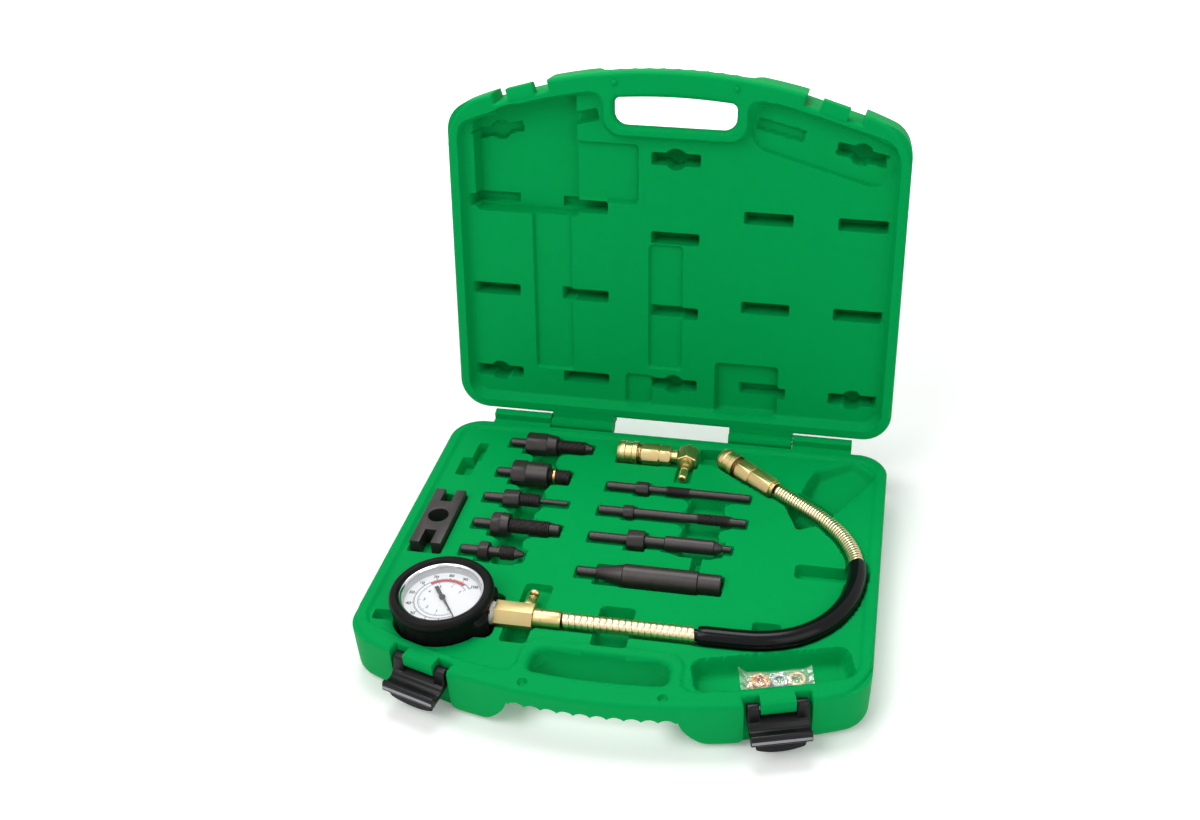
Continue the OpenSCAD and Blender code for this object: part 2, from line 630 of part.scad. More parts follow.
module closed_lid() {
    difference() {
        union() {
            difference() {
                translate([0, 0, base_h + lid_h]) mirror([0, 0, 1]) shell(lid_h - closing_gap);
                for (side = [-1, 1]) at_latch(side) latch_recess_cut(base_h - 1, base_h + latch_len + 8);
            }
            for (side = [-1, 1]) at_latch(side) lid_latch_tab();
            for (side = [-1, 1]) mirror([side < 0 ? 1 : 0, 0, 0])
                knuckle(hinge_split_x - knuckle_len - 4, hinge_split_x - 0.4, 1);
            for (side = [-1, 1]) translate([side * peg_x, peg_y, base_h - peg_h]) cylinder(r = peg_r,
                h = peg_h + 2);
        }
        translate([0, 0, base_h - 1]) linear_extrude(panel_step + 1) inside_rim();
        translate([0, 0, 2 * base_h]) mirror([0, 0, 1]) grip_cut(base_h);
        kiss_pockets();
        lid_reliefs();
        hinge_bore();
    }
}
module case_lid() color("#0B9A4B") lid_turned() closed_lid();

module hinge_pins() {
    color("#B9BCBE") for (side = [-1, 1]) mirror([side < 0 ? 1 : 0, 0, 0]) translate([0, hinge_y, hinge_z])
        rod_x(hinge_split_x - knuckle_len - 3, hinge_split_x + knuckle_len - 1, hinge_pin_r);
}
module latch_pins() {
    color("#B9BCBE") for (side = [-1, 1]) at_latch(side) translate([0, pivot_in, pivot_z])
        rod_x(-latch_w / 2 + 0.6, latch_w / 2 - 0.6, latch_pin_r);
}

// Latch, drawn closed around its pin with -Y outwards, then swung open
plate_in = pivot_in + 0.7;
plate_t_latch = 4;
module latch(side) {
    arm_in = latch_tab_w / 2 + 1.6;
    eye_r = pivot_in - 0.5;
    hook_z = latch_pin_drop + catch_h + 0.3;
    plate_out = plate_in + plate_t_latch;
    color("#26282A") at_latch(side) translate([0, pivot_in, pivot_z]) rotate([latch_open, 0, 0])
        difference() {
        union() {
            for (s = [-1, 1]) {
                x0 = s > 0 ? arm_in : -latch_w / 2;
                x1 = s > 0 ? latch_w / 2 : -arm_in;
                rod_x(x0, x1, eye_r);
                translate([x0, -plate_out, 0]) cube([x1 - x0, plate_out, latch_len / 2]);
            }
            rotate([90, 0, 90]) translate([0, 0, -latch_w / 2]) linear_extrude(latch_w) latch_plate_2d();
            translate([-latch_tab_w / 2 + 0.5, -plate_in - 1, hook_z]) cube([latch_tab_w - 1,
                plate_in - 0.4, 3.5]);
            translate([0, -plate_out + 1, latch_len - 3.5]) linear_extrude(2.5) flap_2d();
        }
        rod_x(-latch_w, latch_w, latch_pin_r + run_clear);
    }
}
module latch_plate_2d() {
    translate([-plate_in - plate_t_latch, 2]) square([plate_t_latch, latch_len - 4]);
    translate([-plate_in - plate_t_latch / 2, latch_len - 2]) circle(plate_t_latch / 2);
}
module flap_2d() intersection() {
    translate([-17, -flap_reach]) square([34, flap_reach]);
    translate([0, 26 - flap_reach]) circle(26);
}
module latch_left() latch(-1);
module latch_right() latch(1);

// Gauge
boot_groove_count = 24;
module gauge_boot() {
    color("#1C1D1F") at_gauge() difference() {
        translate([0, 0, boot_z]) rotate_extrude() boot_profile();
        for (i = [0 : boot_groove_count - 1]) rotate((i + 0.5) * 360 / boot_groove_count)
            translate([boot_r + 0.6, 0, boot_z - 1]) cylinder(r = 1.6, h = boot_h - 13);
        translate([0, 0, tester_z]) rod_x(gauge_r - 4, boot_r + 5, stem_half * sqrt(2) + 0.4);
    }
}
module boot_profile() {
    rim_h = 9;
    lip_r = 31.8;
    difference() {
        union() {
            square([boot_r, boot_h - rim_h]);
            translate([0, boot_h - rim_h]) square([boot_rim_r, rim_h - 3]);
            translate([0, boot_h - 3.5]) square([boot_rim_r - 3, 3.5]);
            translate([boot_rim_r - 3, boot_h - 3]) circle(3);
        }
        translate([-1, boot_floor]) square([gauge_r + run_clear + 1, boot_h - boot_floor - boot_lip]);
        translate([-1, boot_h - boot_lip - 1]) square([lip_r + 1, boot_lip + 2]);
    }
}
module gauge_case() {
    color("#9FA3A6") at_gauge() difference() {
        translate([0, 0, gauge_z0]) rotate_extrude() polygon([[0, 0], [gauge_r, 0], [gauge_r,
            gauge_top - gauge_z0],
            [gauge_r - gauge_wall, gauge_top - gauge_z0], [gauge_r - gauge_wall, gauge_wall], [0,
                gauge_wall]]);
        translate([gauge_r - 4, -stem_half - 0.2, tester_z - stem_half - 0.2]) cube([8,
            2 * stem_half + 0.4, 2 * stem_half + 0.4]);
    }
}
module gauge_bezel() {
    bezel_in = 29.6;
    z = gauge_top + lens_t;
    color("#D5D8DA") at_gauge() translate([0, 0, z]) rotate_extrude()
        polygon([[bezel_in, 0], [gauge_r, 0], [gauge_r, 0.85], [bezel_in + 1, 0.85]]);
}
module gauge_lens() color("#DDE6EA", 0.3) at_gauge() translate([0, 0, gauge_top])
    cylinder(r = gauge_r - 0.1, h = lens_t);
module dial_spacer_ring() {
    outer = gauge_r - gauge_wall - 0.1;
    color("#C9CCCE") at_gauge() translate([0, 0, dial_z + dial_t]) rotate_extrude()
        polygon([[dial_r - 2, 0], [outer, 0], [outer, gauge_top - dial_z - dial_t], [dial_r - 0.6,
            gauge_top - dial_z - dial_t]]);
}
module gauge_dial() color("white") at_gauge() translate([0, 0, dial_z]) difference() {
    cylinder(r = dial_r, h = dial_t);
    translate([0, 0, -1]) cylinder(r = 1.6, h = 3);
}
pointer_z = dial_z + dial_t + 1.2;
module gauge_pointer() {
    tail = 10;
    color("#202224") at_gauge() translate([0, 0, pointer_z]) difference() {
        union() {
            cylinder(r = 2.4, h = 1.6);
            rotate(pointer_zero) linear_extrude(0.6)
                polygon([[-tail, -1.5], [0, -1.1], [pointer_len, -0.25], [pointer_len, 0.25], [0, 1.1],
                    [-tail, 1.5]]);
        }
        translate([0, 0, -1]) cylinder(r = arbor_r + 0.02, h = 2);
    }
}
// Trapezoid tooth of the movement on a circle of radius r, at angle a
addendum = 0.2;
dedendum = 0.3;
function tooth(r, a, pitch_a) = [for (q = [[-0.22, -dedendum], [-0.13, addendum], [0.13, addendum], [0.22,
    -dedendum]])
    (r + q[1]) * [cos(a + q[0] * pitch_a), sin(a + q[0] * pitch_a)]];
module pointer_pinion() {
    step = 360 / pinion_teeth;
    color("#C8A24A") at_gauge() {
        translate([0, 0, tester_z - 2.5]) linear_extrude(3.5)
            polygon([for (i = [0 : pinion_teeth - 1]) for (p = tooth(pinion_r, 180 + (i + 0.5) * step,
                step)) p]);
        translate([0, 0, tester_z - movement_half_t - plate_t]) cylinder(r = arbor_r - 0.25,
            h = movement_half_t);
        translate([0, 0, tester_z + 0.9]) cylinder(r = arbor_r, h = pointer_z + 1 - tester_z - 0.9);
    }
}
sector_step = 360 / sector_teeth;
sector_z = tester_z - 1.5;
module sector_gear() {
    web_in = 2.2;
    tooth_first = -8;
    tooth_last = 2;
    inner = sector_r - 2.4;
    a0 = (tooth_first - 0.5) * sector_step;
    a1 = (tooth_last + 0.5) * sector_step;
    color("#C8A24A") at_gauge() translate([sector_x, 0, sector_z]) difference() {
        union() {
            linear_extrude(1) polygon(concat([for (i = [tooth_first : tooth_last])
                for (p = tooth(sector_r, i * sector_step, sector_step)) p],
                [inner * [cos(a1), sin(a1)], [2, 0.9], [2, -0.9], inner * [cos(a0), sin(a0)]]));
            cylinder(r = web_in, h = 1);
            translate([0, 0, -3 - plate_t + 0.3]) cylinder(r = arbor_r, h = 2 * movement_half_t + plate_t);
            translate([-1, -tail_len - 1, 0]) cube([2, tail_len + 1, 1]);
        }
    }
}
tube_from = 14;
tube_tip = 235;
module sector_link() {
    tab_turn = tube_tip + 4.5;
    far = [bourdon_r * cos(tab_turn) - sector_x, bourdon_r * sin(tab_turn)];
    near = [0, -tail_len];
    away = (far - near) / norm(far - near);
    side = [-away[1], away[0]];
    color("#C8A24A") at_gauge() translate([sector_x, 0, sector_z + 1]) linear_extrude(0.8)
        polygon([near - 0.9 * away + 0.9 * side, near - 0.9 * away - 0.9 * side, far - 0.9 * side,
            far + 0.9 * side]);
}
module hairspring() {
    turns = 4;
    n = 20 * turns;
    start = 1.3;
    rise = 0.75;
    strip = 0.14;
    function coil(off) = [for (i = [0 : n]) let (a = 360 * turns * i / n,
        r = start + rise * a / 360 + off) r * [cos(a), sin(a)]];
    echo(str("hairspring least gap ", rise - 2 * strip));
    outer = coil(strip);
    inner = coil(-strip);
    end = start + rise * turns;
    color("#8F9498") at_gauge() {
        translate([0, 0, tester_z + 2]) linear_extrude(0.8) polygon(concat(outer, [for (i = [n : -1 : 0])
            inner[i]]));
        translate([end, 0, tester_z + 1.5]) cylinder(r = 0.5, h = movement_half_t - 1.5);
    }
}
// Section of the flat pressure tube, grown by g
module tube_section(g) {
    half_t = 1.3 + g;
    half_h = 4.2 + g;
    polygon([[-half_t, 1 - half_h], [0, -half_h], [half_t, 1 - half_h], [half_t, half_h - 1], [0, half_h],
        [-half_t, half_h - 1]]);
}
module tube_bend(from, g) {
    translate([0, 0, tester_z]) rotate(from) rotate_extrude(angle = tube_tip - from) translate([bourdon_r, 0])
        tube_section(g);
}
module bourdon_tube() {
    color("#C8A24A") at_gauge() {
        tube_bend(tube_from, 0);
        rotate(tube_tip - 0.5) translate([bourdon_r - 2, 0, sector_z - 0.6]) cube([4, 3, 1.2]);
    }
}
module gauge_socket() {
    reach = gauge_x + 8;
    color("#A98538") difference() {
        at_tester_axis() {
            translate([reach, -7, -movement_half_t]) cube([stem_from - reach + 1, 14, 2 * movement_half_t]);
            translate([stem_from, -stem_half, -stem_half])
                cube([tape_from - stem_from, 2 * stem_half, 2 * stem_half]);
            rod_x(tape_from - 1, block_from + 11, stem_r);
        }
        at_gauge() tube_bend(tube_from - 0.2, 0.03);
    }
}
module movement_plates() {
    plate_l = 31;
    mid = -1;
    color("#C8A24A") at_gauge() difference() {
        union() {
            for (z = [tester_z - movement_half_t - plate_t, tester_z + movement_half_t])
                translate([mid, 0, z]) linear_extrude(plate_t) round_rect(plate_l, 17, 3);
            for (side = [-1, 1]) {
                translate([4, side * 6.6, tester_z - movement_half_t - 0.1]) cylinder(r = 1.1,
                    h = 2 * movement_half_t + 0.2);
                translate([6, side * 6, tester_z + movement_half_t]) cylinder(r = 1.1,
                    h = dial_z - tester_z - movement_half_t);
            }
        }
        for (x = [0, sector_x]) translate([x, 0, 0]) cylinder(r = arbor_r + run_clear, h = 100);
    }
}

// Tester from the gauge's stem to the coupler
module thread_seal_tape() {
    color("white") at_tester_axis() difference() {
        rod_x(tape_from, block_from, stem_r + 1.4);
        rod_x(tape_from - 1, block_from + 1, stem_r);
    }
}
module valve_block() {
    color("#C9A55C") at_tester_axis() difference() {
        hex_x(block_from, block_to, block_af);
        rod_x(block_from - 1, block_from + 12, stem_r + 0.02);
        rod_x(block_from + 1, block_to + 1, 2.5);
        translate([valve_x, 0, 0]) rotate([-90, 0, 0]) {
            cylinder(r = valve_shank_r + 0.02, h = block_af);
            translate([0, 0, block_af / 2]) cylinder(r = 6, h = block_af);
        }
    }
}
// Release valve on the block's back face, drawn along +Y from the face
module at_valve() translate([valve_x, valve_y, tester_z]) rotate([-90, 0, 0]) children();
button_head_from = 13;
module release_valve_body() {
    color("#C9A55C") at_valve() difference() {
        rotate_extrude() polygon([[0, -5.5], [valve_shank_r, -5.5], [valve_shank_r, 0], [5.4, 0], [4, 7],
            [2.9, 7.6], [2.9, 11], [0, 11]]);
        translate([0, 0, -2]) cylinder(r = 2.2, h = 11);
        translate([0, 0, -7]) cylinder(r = 1.2 + run_clear, h = 30);
    }
}
module release_button() {
    color("#C9A55C") at_valve() rotate_extrude()
        polygon([[0, -4.5], [1.2, -4.5], [1.2, button_head_from], [3.2, button_head_from], [3.9,
            button_head_from + 1],
            [3.9, button_head_from + 3.4], [3.2, button_head_from + 4.4], [0, button_head_from + 4.4]]);
}
function coil_frame(r, z, phi, lead) = let (out = [cos(phi), sin(phi), 0],
    wire = [-r * sin(phi), r * cos(phi), lead / (2 * PI)]) [[r * cos(phi), r * sin(phi), z], out,
        cross(wire / norm(wire), out)];
module coil_spring(r, wire, l, turns, label) {
    n = turns * 8;
    lead = (l - wire) / turns;
    frames = [for (i = [0 : n]) coil_frame(r, wire / 2 + (l - wire) * i / n, 360 * turns * i / n, lead)];
    echo(str(label, " least gap ", least_gap(frames, 8, wire)));
    sweep(frames, oval(wire, wire, 6));
}
module release_spring() color("#8F9498") at_valve() translate([0, 0, -1.6]) coil_spring(1.75, 0.6, 8, 5,
    "release spring");
module gauge_end_ferrule() {
    color("#C9A55C") at_tester_axis() difference() {
        spin_x([[0, block_to], [ferrule_r, block_to], [ferrule_r, guard_from - 1.2], [ferrule_r - 0.8,
            guard_from], [0, guard_from]]);
        rod_x(block_to - 1, guard_from + 1, 2.5);
    }
}
// Spring guard: flat wire wound round the hose between two points of its route
module spring_guard(u0, u1, turns, wire_w, wire_t, label) {
    n = turns * 8;
    len_u = norm(spline(hose_route, u1) - spline(hose_route, u0));
    frames = [for (i = [0 : n]) let (u = u0 + (u1 - u0) * i / n, t = heading(hose_route, u))
        helix_frame(spline(hose_route, u), t, 360 * turns * i / n, guard_r, len_u / turns)];
    echo(str(label, " least gap ", least_gap(frames, 8, wire_w)));
    sweep(frames, oval(wire_t, wire_w, 6));
}
module gauge_end_spring_guard() color("#D9C27A") spring_guard(0.06, 2.95, guard_turns, 3.9, 1.1,
    "gauge end guard");
module coupler_end_spring_guard()
    color("#D9C27A") spring_guard(cover_last + 0.15, hose_last - 0.12, fine_guard_turns, 1.7, 1.1,
        "coupler end guard");
module hose() color("#1B1C1E") sweep(hose_frames(0, hose_last, 50), oval(2 * hose_r, 2 * hose_r, 12));
module hose_cover() color("#141517") pipe_sweep(hose_frames(3, cover_last, 30), 2 * cover_r,
    2 * hose_r + 0.6, 12);
module coupler_end_ferrule() {
    color("#C9A55C") at_coupler() difference() {
        union() {
            hex_x(3, nut_from, 15);
            rod_x(0, 3, 6.6);
        }
        rod_x(-1, nut_from + 1, 2.5);
    }
}
// Quick coupler head along +X: nut, barrel with the socket, balls behind the sleeve
ball_r = 1.4;
ball_x = coupler_l - 5;
ball_at = barrel_r - 0.3 - ball_r;
module coupler_head() {
    color("#CFAB62") difference() {
        union() {
            hex_x(nut_from, nut_to, 16);
            rod_x(nut_to - 1, coupler_l - 1, barrel_r);
        }
        rod_x(coupler_l - 1 - socket_l, coupler_l + 1, socket_r);
        rod_x(nut_from - 1, coupler_l, 2.5);
        for (i = [0 : 3]) translate([ball_x, 0, 0]) rotate([45 + 90 * i, 0, 0])
            translate([0, 0, ball_at - ball_r - 0.1]) cylinder(r = ball_r + run_clear, h = 10);
    }
}
module sliding_sleeve() {
    spring_bore = sleeve_r - 0.6;
    color("#D6B46C") difference() {
        spin_x([[barrel_r + run_clear, sleeve_from], [sleeve_r, sleeve_from], [sleeve_r, sleeve_from + 9],
            [sleeve_r - 0.9, sleeve_from + 9.6],
            [sleeve_r - 0.9, sleeve_from + 11.4], [sleeve_r, sleeve_from + 12], [sleeve_r, coupler_l - 2],
            [sleeve_r - 1, coupler_l], [barrel_r + run_clear, coupler_l]]);
        rod_x(sleeve_from - 1, sleeve_from + 8, spring_bore);
    }
}
module sleeve_spring(label) color("#8F9498") translate([nut_to + 0.2, 0, 0]) rotate([0, 90, 0])
    coil_spring(barrel_r + 1.25, coil_wire, sleeve_from + 8 - sleeve_travel - nut_to - 0.6, 5, label);
module lock_balls() color("#D8DADC") for (i = [0 : 3]) translate([ball_x, 0, 0]) rotate([45 + 90 * i, 0, 0])
    translate([0, 0, ball_at]) sphere(ball_r);
module coupler_body() at_coupler() coupler_head();
module coupler_sleeve() at_coupler() sliding_sleeve();
module coupler_spring() at_coupler() sleeve_spring("coupler spring");
module coupler_balls() at_coupler() lock_balls();

// Angle adapter: the same coupler head on a brass elbow with a plug nipple
head_shift = elbow_tail - nut_from;
module elbow_body() {
    color("#C9A55C") {
        difference() {
            union() {
                translate([elbow_x, elbow_y, elbow_z - elbow_t / 2]) linear_extrude(elbow_t)
                    round_rect(elbow_w, elbow_w, 2);
                at_elbow() rod_x(-1, elbow_tail - 9, 4.6);
                at_elbow() hex_x(elbow_tail - 9.5, elbow_tail, 15);
                translate([elbow_x, elbow_y, elbow_z]) rotate([90, 0, 0]) rotate_extrude()
                    polygon([[0, 0], [4.6, 0], [4.6, 14], [nipple_d / 2, 14], [nipple_d / 2, elbow_reach - 1],
                        [nipple_d / 2 - 1, elbow_reach], [0, elbow_reach]]);
            }
            at_elbow() rod_x(-elbow_w / 2, elbow_tail + 1, 2);
            translate([elbow_x, elbow_y, elbow_z]) rotate([90, 0, 0]) cylinder(r = 2, h = elbow_reach + 1);
        }
    }
}
module on_elbow() at_elbow() translate([head_shift, 0, 0]) children();
module elbow_coupler_body() on_elbow() coupler_head();
module elbow_sleeve() on_elbow() sliding_sleeve();
module elbow_spring() on_elbow() sleeve_spring("elbow spring");
module elbow_balls() on_elbow() lock_balls();

// Adapters, the clamp and the bag of washers
module adapter(k) {
    t = adapter_list[k - 1];
    list = t[2];
    color(k == 9 ? "#5A5A58" : "#3A3836") translate([t[0], t[1], tool_z]) difference() {
        union() {
            spin_x(tool_profile(list));
            for (i = [0 : len(list) - 1]) if (list[i][3] == 1) hex_x(seg_start(list, i), seg_start(list,
                i) + list[i][0], list[i][1]);
        }
        rod_x(-1, list[0][0] + 6, 1.25);
    }
}
module adapter_1() adapter(1);
ring_at_x = 47;
ring_t = 2;
ring_r = 6.6;
module adapter_2() difference() {
    adapter(2);
    translate([adapter_list[1][0], adapter_list[1][1], tool_z]) difference() {
        rod_x(ring_at_x - 0.02, ring_at_x + ring_t + 0.02, 10);
        rod_x(ring_at_x - 1, ring_at_x + ring_t + 1, 5.38);
    }
}
module adapter_2_copper_ring() {
    color("#C98A4A") translate([adapter_list[1][0], adapter_list[1][1], tool_z]) difference() {
        rod_x(ring_at_x, ring_at_x + ring_t, ring_r);
        rod_x(ring_at_x - 1, ring_at_x + ring_t + 1, 5.4);
    }
}
module adapter_3() adapter(3);
module adapter_4() adapter(4);
module adapter_5() adapter(5);
module adapter_6() adapter(6);
module adapter_7() adapter(7);
module adapter_8() adapter(8);
module adapter_9() adapter(9);
module clamp_fork() {
    color("#3A3836") translate([clamp_x, clamp_y, clamp_z]) linear_extrude(clamp_t) difference() {
        square([clamp_w, clamp_l], center = true);
        circle(clamp_bore_r);
        for (s = [-1, 1]) translate([-clamp_slot_w / 2,
            s > 0 ? clamp_l / 2 - clamp_slot_l : -clamp_l / 2 - 1])
            square([clamp_slot_w, clamp_slot_l + 1]);
    }
}
module at_bag() translate([bag_x, bag_y, washer_tray_z + seat_gap]) rotate(bag_turn) children();
bag_film = 0.4;
module washer_bag() {
    color("#E4EAEC", 0.35) at_bag() difference() {
        linear_extrude(bag_t) round_rect(bag_l, bag_w, 3);
        translate([0, 0, bag_film]) linear_extrude(bag_t - 2 * bag_film) round_rect(bag_l - 2, bag_w - 2, 2);
    }
}
module washer(x, y, z, r, hole) translate([x, y, z]) difference() {
    cylinder(r = r, h = 1.5);
    translate([0, 0, -1]) cylinder(r = hole, h = 4);
}
module copper_washers() {
    color("#C98A4A") at_bag() for (i = [0 : 3])
        washer(-14 + (i % 2) * 13, 0, bag_film + 0.1 + floor(i / 2) * 1.6, 5.8, 3.4);
}
module seal_rings() {
    color("#D8C48C") at_bag() for (i = [0 : 1]) washer(14, 0, bag_film + 0.1 + i * 1.6, 6.2, 4.2);
}

case_base();
case_lid();
hinge_pins();
latch_pins();
latch_left();
latch_right();
gauge_boot();
gauge_case();
gauge_bezel();
gauge_lens();
dial_spacer_ring();
gauge_dial();
gauge_pointer();
pointer_pinion();
sector_gear();
sector_link();
hairspring();
bourdon_tube();
gauge_socket();
movement_plates();
thread_seal_tape();
valve_block();
release_valve_body();
release_button();
release_spring();
gauge_end_ferrule();
gauge_end_spring_guard();
hose();
hose_cover();
coupler_end_spring_guard();
coupler_end_ferrule();
coupler_body();
coupler_sleeve();
coupler_spring();
coupler_balls();
elbow_body();
elbow_coupler_body();
elbow_sleeve();
elbow_spring();
elbow_balls();
adapter_1();
adapter_2();
adapter_2_copper_ring();
adapter_3();
adapter_4();
adapter_5();
adapter_6();
adapter_7();
adapter_8();
adapter_9();
clamp_fork();
washer_bag();
copper_washers();
seal_rings();
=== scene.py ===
"""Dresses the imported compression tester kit: moulded case, gauge, hose, fittings, adapters and stage."""

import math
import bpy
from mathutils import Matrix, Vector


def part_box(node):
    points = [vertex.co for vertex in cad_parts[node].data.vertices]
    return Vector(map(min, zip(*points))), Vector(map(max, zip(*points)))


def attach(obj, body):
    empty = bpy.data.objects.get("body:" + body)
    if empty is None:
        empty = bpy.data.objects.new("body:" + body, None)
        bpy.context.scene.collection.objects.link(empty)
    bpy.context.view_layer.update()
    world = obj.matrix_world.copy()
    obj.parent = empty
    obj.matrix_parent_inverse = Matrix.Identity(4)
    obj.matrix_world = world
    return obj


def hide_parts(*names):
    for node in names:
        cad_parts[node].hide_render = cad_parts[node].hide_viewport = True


bl_info = {
    "name": "Compression Tester Kit",
    "version": (1, 0, 0),
    "blender": (4, 5, 0),
    "location": "View3D > Sidebar > Tester Kit",
    "description": "Builds the visible pieces of a diesel compression tester kit on its CAD frame",
    "category": "Object",
}

import bmesh
import bpy
import numpy as np

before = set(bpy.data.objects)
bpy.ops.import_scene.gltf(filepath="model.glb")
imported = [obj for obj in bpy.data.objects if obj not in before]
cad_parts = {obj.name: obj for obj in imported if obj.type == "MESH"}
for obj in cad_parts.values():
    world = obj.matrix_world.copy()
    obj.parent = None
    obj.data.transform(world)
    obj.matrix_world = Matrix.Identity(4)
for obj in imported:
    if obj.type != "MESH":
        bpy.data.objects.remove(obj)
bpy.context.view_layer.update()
MM = 0.001
SIDES = (-1, 1)
COS30 = math.cos(math.pi / 6)
UP = np.array([[0, 0, 1.0]])

# Driving sizes of the case, in millimetres, as the solids have them
BASE_LOW, BASE_HIGH = (np.array(corner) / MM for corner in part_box("case_base"))
CASE_W = float(BASE_HIGH[0] - BASE_LOW[0])
FRONT_Y = float(BASE_LOW[1])
BACK_Y = -FRONT_Y
BASE_H, LID_H = 42.0, 36.0
FRONT_R, FRONT_CORNER_R, BACK_CORNER_R = 440.0, 26.0, 24.0
SHELL_ROUND, WALL_DRAFT = 9.0, 1.2
ARC_Y = FRONT_Y + FRONT_R
CORNER_X = CASE_W / 2 - FRONT_CORNER_R
CORNER_Y = ARC_Y - math.sqrt((FRONT_R - FRONT_CORNER_R) ** 2 - CORNER_X ** 2)
BOW_END_X = CORNER_X * FRONT_R / (FRONT_R - FRONT_CORNER_R)
REAR_X, REAR_Y = CASE_W / 2 - BACK_CORNER_R, BACK_Y - BACK_CORNER_R
FLOOR_STEP, PANEL_STEP, CLOSING_GAP = 2.0, 8.5, 0.1
TRAY_Z = BASE_H - FLOOR_STEP
RIM_SIDE, RIM_FRONT = 8.0, 13.0
HINGE_Y, LID_OPEN = BACK_Y + 7.5, 98.0
POCKET_CLEAR, POCKET_DEEPER, FINGER_ROOM, SEAT_GAP = 2.0, 1.0, 3.0, 0.3
GRIP_BAR_W, GRIP_HOLE_H, GRIP_HALF_W, GRIP_BAR_H = 20.5, 23.5, 48.5, 16.0
GRIP_Y1 = FRONT_Y + GRIP_BAR_W + GRIP_HOLE_H
GRIP_END_R = (GRIP_HOLE_H - 3.5) / 2
GRIP_CORNER = 4.5
PEG_X, PEG_Y = 48.0, FRONT_Y + GRIP_BAR_W / 2
LATCH_X, LATCH_W, LATCH_TAB_W, LATCH_RECESS = 125.0, 42.0, 22.0, 9.0
LATCH_TURN = math.asin(LATCH_X / FRONT_R)
LATCH_PIN_Y, LATCH_PIN_Z, LATCH_OPEN = LATCH_RECESS / 2, BASE_H - 8, 110.0
PLATE_IN, PLATE_OUT, FLAP_REACH = 5.2, 9.2, 14.0
# Rounding of the rim's outer edge, of the hand hole's edge and of the latch recesses' edge
RIM_ROUND, HOLE_ROUND, RECESS_ROUND = 2.4, 4.5, 2.0
# Plan width of the drafted walls: of the tight pockets, of the scoops, and of the washer tray and the trough
WALL, SCOOP_WALL, SLOPE_WALL = 1.6, 2.4, 5.0

# The tester: height of its axis, middle of the gauge, valve, and the hose's route in plan from the
# gauge's ferrule to the coupler's
TESTER_Z = BASE_H + 0.5
AXIS_UP = TESTER_Z - TRAY_Z
GAUGE_X, GAUGE_Y = -123.0, -80.0
VALVE_X, VALVE_Y = -62.0, -71.5
COUPLER_TURN = 143.13
HOSE_ROUTE = np.array([
    (-36, -80), (-3, -80), (30, -80), (62, -80), (95, -79.5), (108.5, -78), (120, -75), (130.5, -70.5),
    (140, -64), (148.5, -56), (155.5, -46.5), (161, -36), (165, -25), (167.5, -13), (168.5, -1), (167.5, 11),
    (164.5, 23), (159.5, 34), (153, 44), (145, 53.5), (136, 62), (126.8, 69.4), (117.2, 76.6), (107.6, 83.8),
    (98, 91)])
COVER_FIRST, COVER_LAST, HOSE_LAST = 3, 15, len(HOSE_ROUTE) - 1
HOSE_R, COVER_R, GUARD_R = 4.4, 7.2, 5.4
ELBOW_X, ELBOW_Y = 12.0, 124.0
ZERO_TURN, SWEEP = -52.0, 270.0


def srgb(code):
    """Linear RGBA of an sRGB hex code: c / 12.92 below 0.04045, else ((c + 0.055) / 1.055) ** 2.4."""
    parts = [int(code[i:i + 2], 16) / 255 for i in (1, 3, 5)]
    return tuple(c / 12.92 if c <= 0.04045 else ((c + 0.055) / 1.055) ** 2.4 for c in parts) + (1.0,)


def colour_prop(label, about, code):
    """Colour property whose default is an sRGB hex code."""
    return bpy.props.FloatVectorProperty(name=label, description=about, subtype="COLOR", size=4, min=0, max=1,
                                         default=srgb(code))


class TESTERKIT_case_settings(bpy.types.PropertyGroup):
    """Sizes and colours of the moulded case."""
    plastic: colour_prop("Case plastic", "Colour of the blow-moulded case", "#009A4D")
    latch_plastic: colour_prop("Latch plastic", "Colour of the two latches", "#131315")
    mesh_pitch: bpy.props.FloatProperty(
        name="Mesh pitch", description="Spacing of the moulded surface's grid in millimetres",
        default=1.25, min=0.8, max=4.0)


class TESTERKIT_gauge_settings(bpy.types.PropertyGroup):
    """Colours of the gauge."""
    rubber: colour_prop("Boot rubber", "Colour of the rubber boot", "#0F0F10")
    dial: colour_prop("Dial enamel", "Colour of the dial", "#F4F6F8")
    band: colour_prop("Red band", "Colour of the band at the scale's end", "#C8202F")


class TESTERKIT_tool_settings(bpy.types.PropertyGroup):
    """Colours of the metal tools and the hose."""
    steel: colour_prop("Adapter steel", "Colour of the oxide finish on the adapters", "#3E3A3A")
    brass: colour_prop("Fitting brass", "Colour of the turned fittings", "#D2BA84")
    zinc: colour_prop("Guard plating", "Colour of the plated spring guards", "#E2CFA4")
    hose: colour_prop("Hose rubber", "Colour of the hose and its cover", "#0C0D0F")


# Objects

def linked(name, data):
    """Object of a mesh, curve, lamp or camera, linked to the scene."""
    obj = bpy.data.objects.new(name, data)
    bpy.context.scene.collection.objects.link(obj)
    return obj


def new_mesh(name, part):
    """Mesh of a part: points in millimetres and faces."""
    points, faces = part
    mesh = bpy.data.meshes.new(name)
    mesh.from_pydata((np.asarray(points, dtype=float) * MM).tolist(), [], [list(map(int, f)) for f in faces])
    return mesh


def evaluated(obj):
    """New mesh of an object with its modifiers, or of a text."""
    return bpy.data.meshes.new_from_object(obj.evaluated_get(bpy.context.evaluated_depsgraph_get()))


def apply_modifiers(obj):
    """Puts an object's evaluated mesh in place of its own."""
    old, done = obj.data, evaluated(obj)
    obj.modifiers.clear()
    obj.data = done
    bpy.data.meshes.remove(old)
    done.name = obj.name


